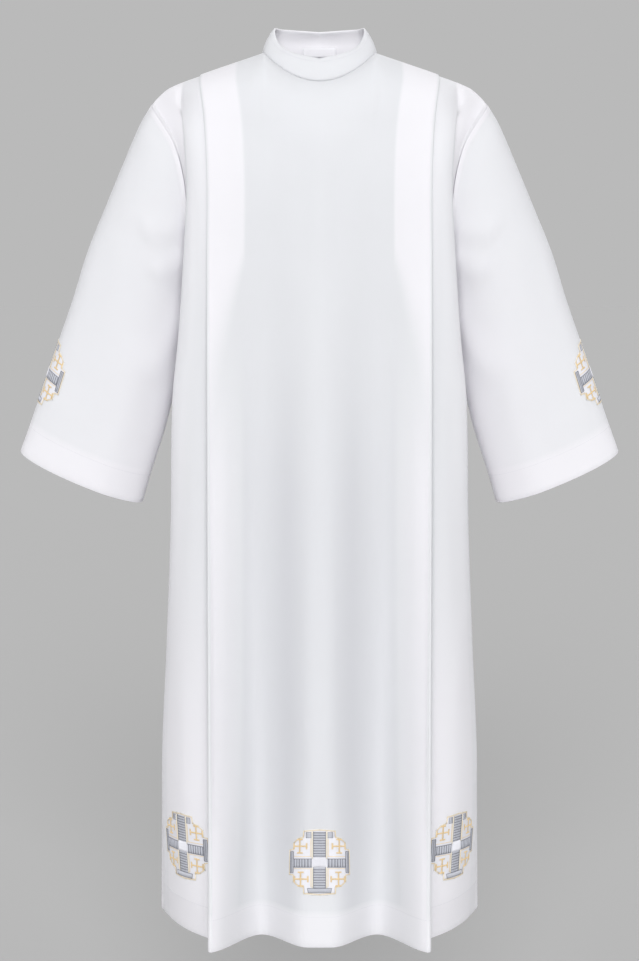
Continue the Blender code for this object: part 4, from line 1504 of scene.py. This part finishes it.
# %% [markdown]
# ## Stitches
# Each hem and cuff is held by one row of straight stitches along its upper edge, and the collar by
# a row round its lower edge and another near its rim. A stitch is a short piece of thread that
# sinks at both ends. It is made once and repeated along the row.

# %% Stitches
STITCH = 2.8  # its length, and from one to the next, in millimetres
STITCH_STEP = 3.6
STITCH_WIDE = 0.5
STITCH_LIFT = 0.0003
sewing_thread = thread_finish("sewing_thread", (0.80, 0.80, 0.84), 0.5)


def stitch(name, node, sheet, cloth, row, slot="cloth"):
    """A row of stitches all along one row of a sheet."""
    start, end = (float(sheet.across[i, row]) / MM for i in (0, -1))
    count = int((end - start) / STITCH_STEP)
    mesh = bmesh.new()
    lay_row(mesh, (start, 0.0), (start + STITCH, 0.0), (STITCH_STEP, 0.0), count, STITCH_WIDE)
    flat = plan_places(mesh)
    down = sheet.down[sheet.middle, row] - flat[:, 1]
    move_to(mesh, sheet.laid(flat[:, 0], down, flat[:, 2] + cloth / 2 + STITCH_LIFT))
    on_body(finish_mesh(name, mesh), sewing_thread, slot, node)
    return count


made = [
    stitch("front_hem_stitches", "front", front_cloth, CLOTH, -HEM_ROWS - 1),
    stitch("back_hem_stitches", "back", back_cloth, CLOTH, -HEM_ROWS - 1),
    stitch("collar_foot_stitches", "collar", collar_sheet, COLLAR_CLOTH, 1, "collar_cloth"),
    stitch("collar_rim_stitches", "collar", collar_sheet, COLLAR_CLOTH, -3, "collar_cloth"),
]
for node, sheet in sleeves.items():
    made.append(stitch(node + "_cuff_stitches", node, sheet, CLOTH, -CUFF_ROWS - 1))
print("stitches", made)

# %% [markdown]
# ## Floor and light
# A white robe needs even light with a direction. The surroundings are one flat grey that lights
# every side, a wide soft lamp stands above the camera so that each fold turns from light to shade,
# a weaker one stands behind so that the back has its own modelling, and two faint ones stand at the
# sides. The floor is a pale sheet
# that glows a little, which makes it as bright as the surroundings wherever the robe doesn't shade
# it. Suns are used because they light the hem as strongly as the collar.

# %% Floor and light
SURROUND = 0.491  # the grey of the surroundings
FLOOR = -1.72
FLOOR_REACH = 60.0
FLOOR_SHEET = 0.40  # how much of the light that falls on the floor it gives back
GRAIN_SCALE = 160.0
GRAIN = (0.99, 1.01)  # how unevenly the floor's paper is made, as shares of its shade
Lamp = namedtuple("Lamp", "name azimuth elevation spread strength")
LAMPS = (
    Lamp("key", 0, 24, 36, 2.58),
    Lamp("back", 168, 34, 40, 1.0),
    Lamp("left", 68, 20, 50, 0.42),
    Lamp("right", -68, 20, 50, 0.42),
)

fallen = SURROUND
for lamp in LAMPS:
    fallen += lamp.strength * math.sin(math.radians(lamp.elevation)) / math.pi
floor_glow = SURROUND - FLOOR_SHEET * fallen

mesh = bmesh.new()
bmesh.ops.create_circle(mesh, cap_ends=True, segments=64, radius=FLOOR_REACH)
bmesh.ops.translate(mesh, vec=(0, 0, FLOOR), verts=mesh.verts)
floor = finish_mesh("floor", mesh)
floor_finish, shader, flow = new_material("floor_sheet", Roughness=0.9, Specular_IOR_Level=0.0)
shader.inputs["Emission Strength"].default_value = 1.0
shader.inputs["Emission Color"].default_value = (floor_glow, floor_glow, floor_glow, 1.0)
grain = noise(flow, object_place(flow), GRAIN_SCALE, 2.0)
paper = [(share * FLOOR_SHEET,) * 3 + (1.0,) for share in GRAIN]
mixed(flow, grain, *paper).feed(shader, "Base Color")
floor.data.materials.append(floor_finish)


def sun(lamp):
    """A distant soft lamp. Azimuth 0 stands at the front, and spread is how wide it looks."""
    data = bpy.data.lights.new(lamp.name, "SUN")
    data.energy, data.angle = lamp.strength, math.radians(lamp.spread)
    hung = bpy.data.objects.new(lamp.name, data)
    hung.rotation_euler = (math.radians(90 - lamp.elevation), 0.0, math.radians(lamp.azimuth))
    bpy.context.collection.objects.link(hung)


for lamp in LAMPS:
    sun(lamp)
world = bpy.data.worlds.new("surroundings")
world.use_nodes = True
background = world.node_tree.nodes["Background"]
background.inputs["Color"].default_value = (SURROUND, SURROUND, SURROUND, 1.0)
bpy.context.scene.world = world
bpy.context.scene.view_settings.view_transform = "Standard"
print("floor at", FLOOR, "m, its glow", round(floor_glow, 4))
print("lamps", [lamp.name for lamp in LAMPS])

# %% [markdown]
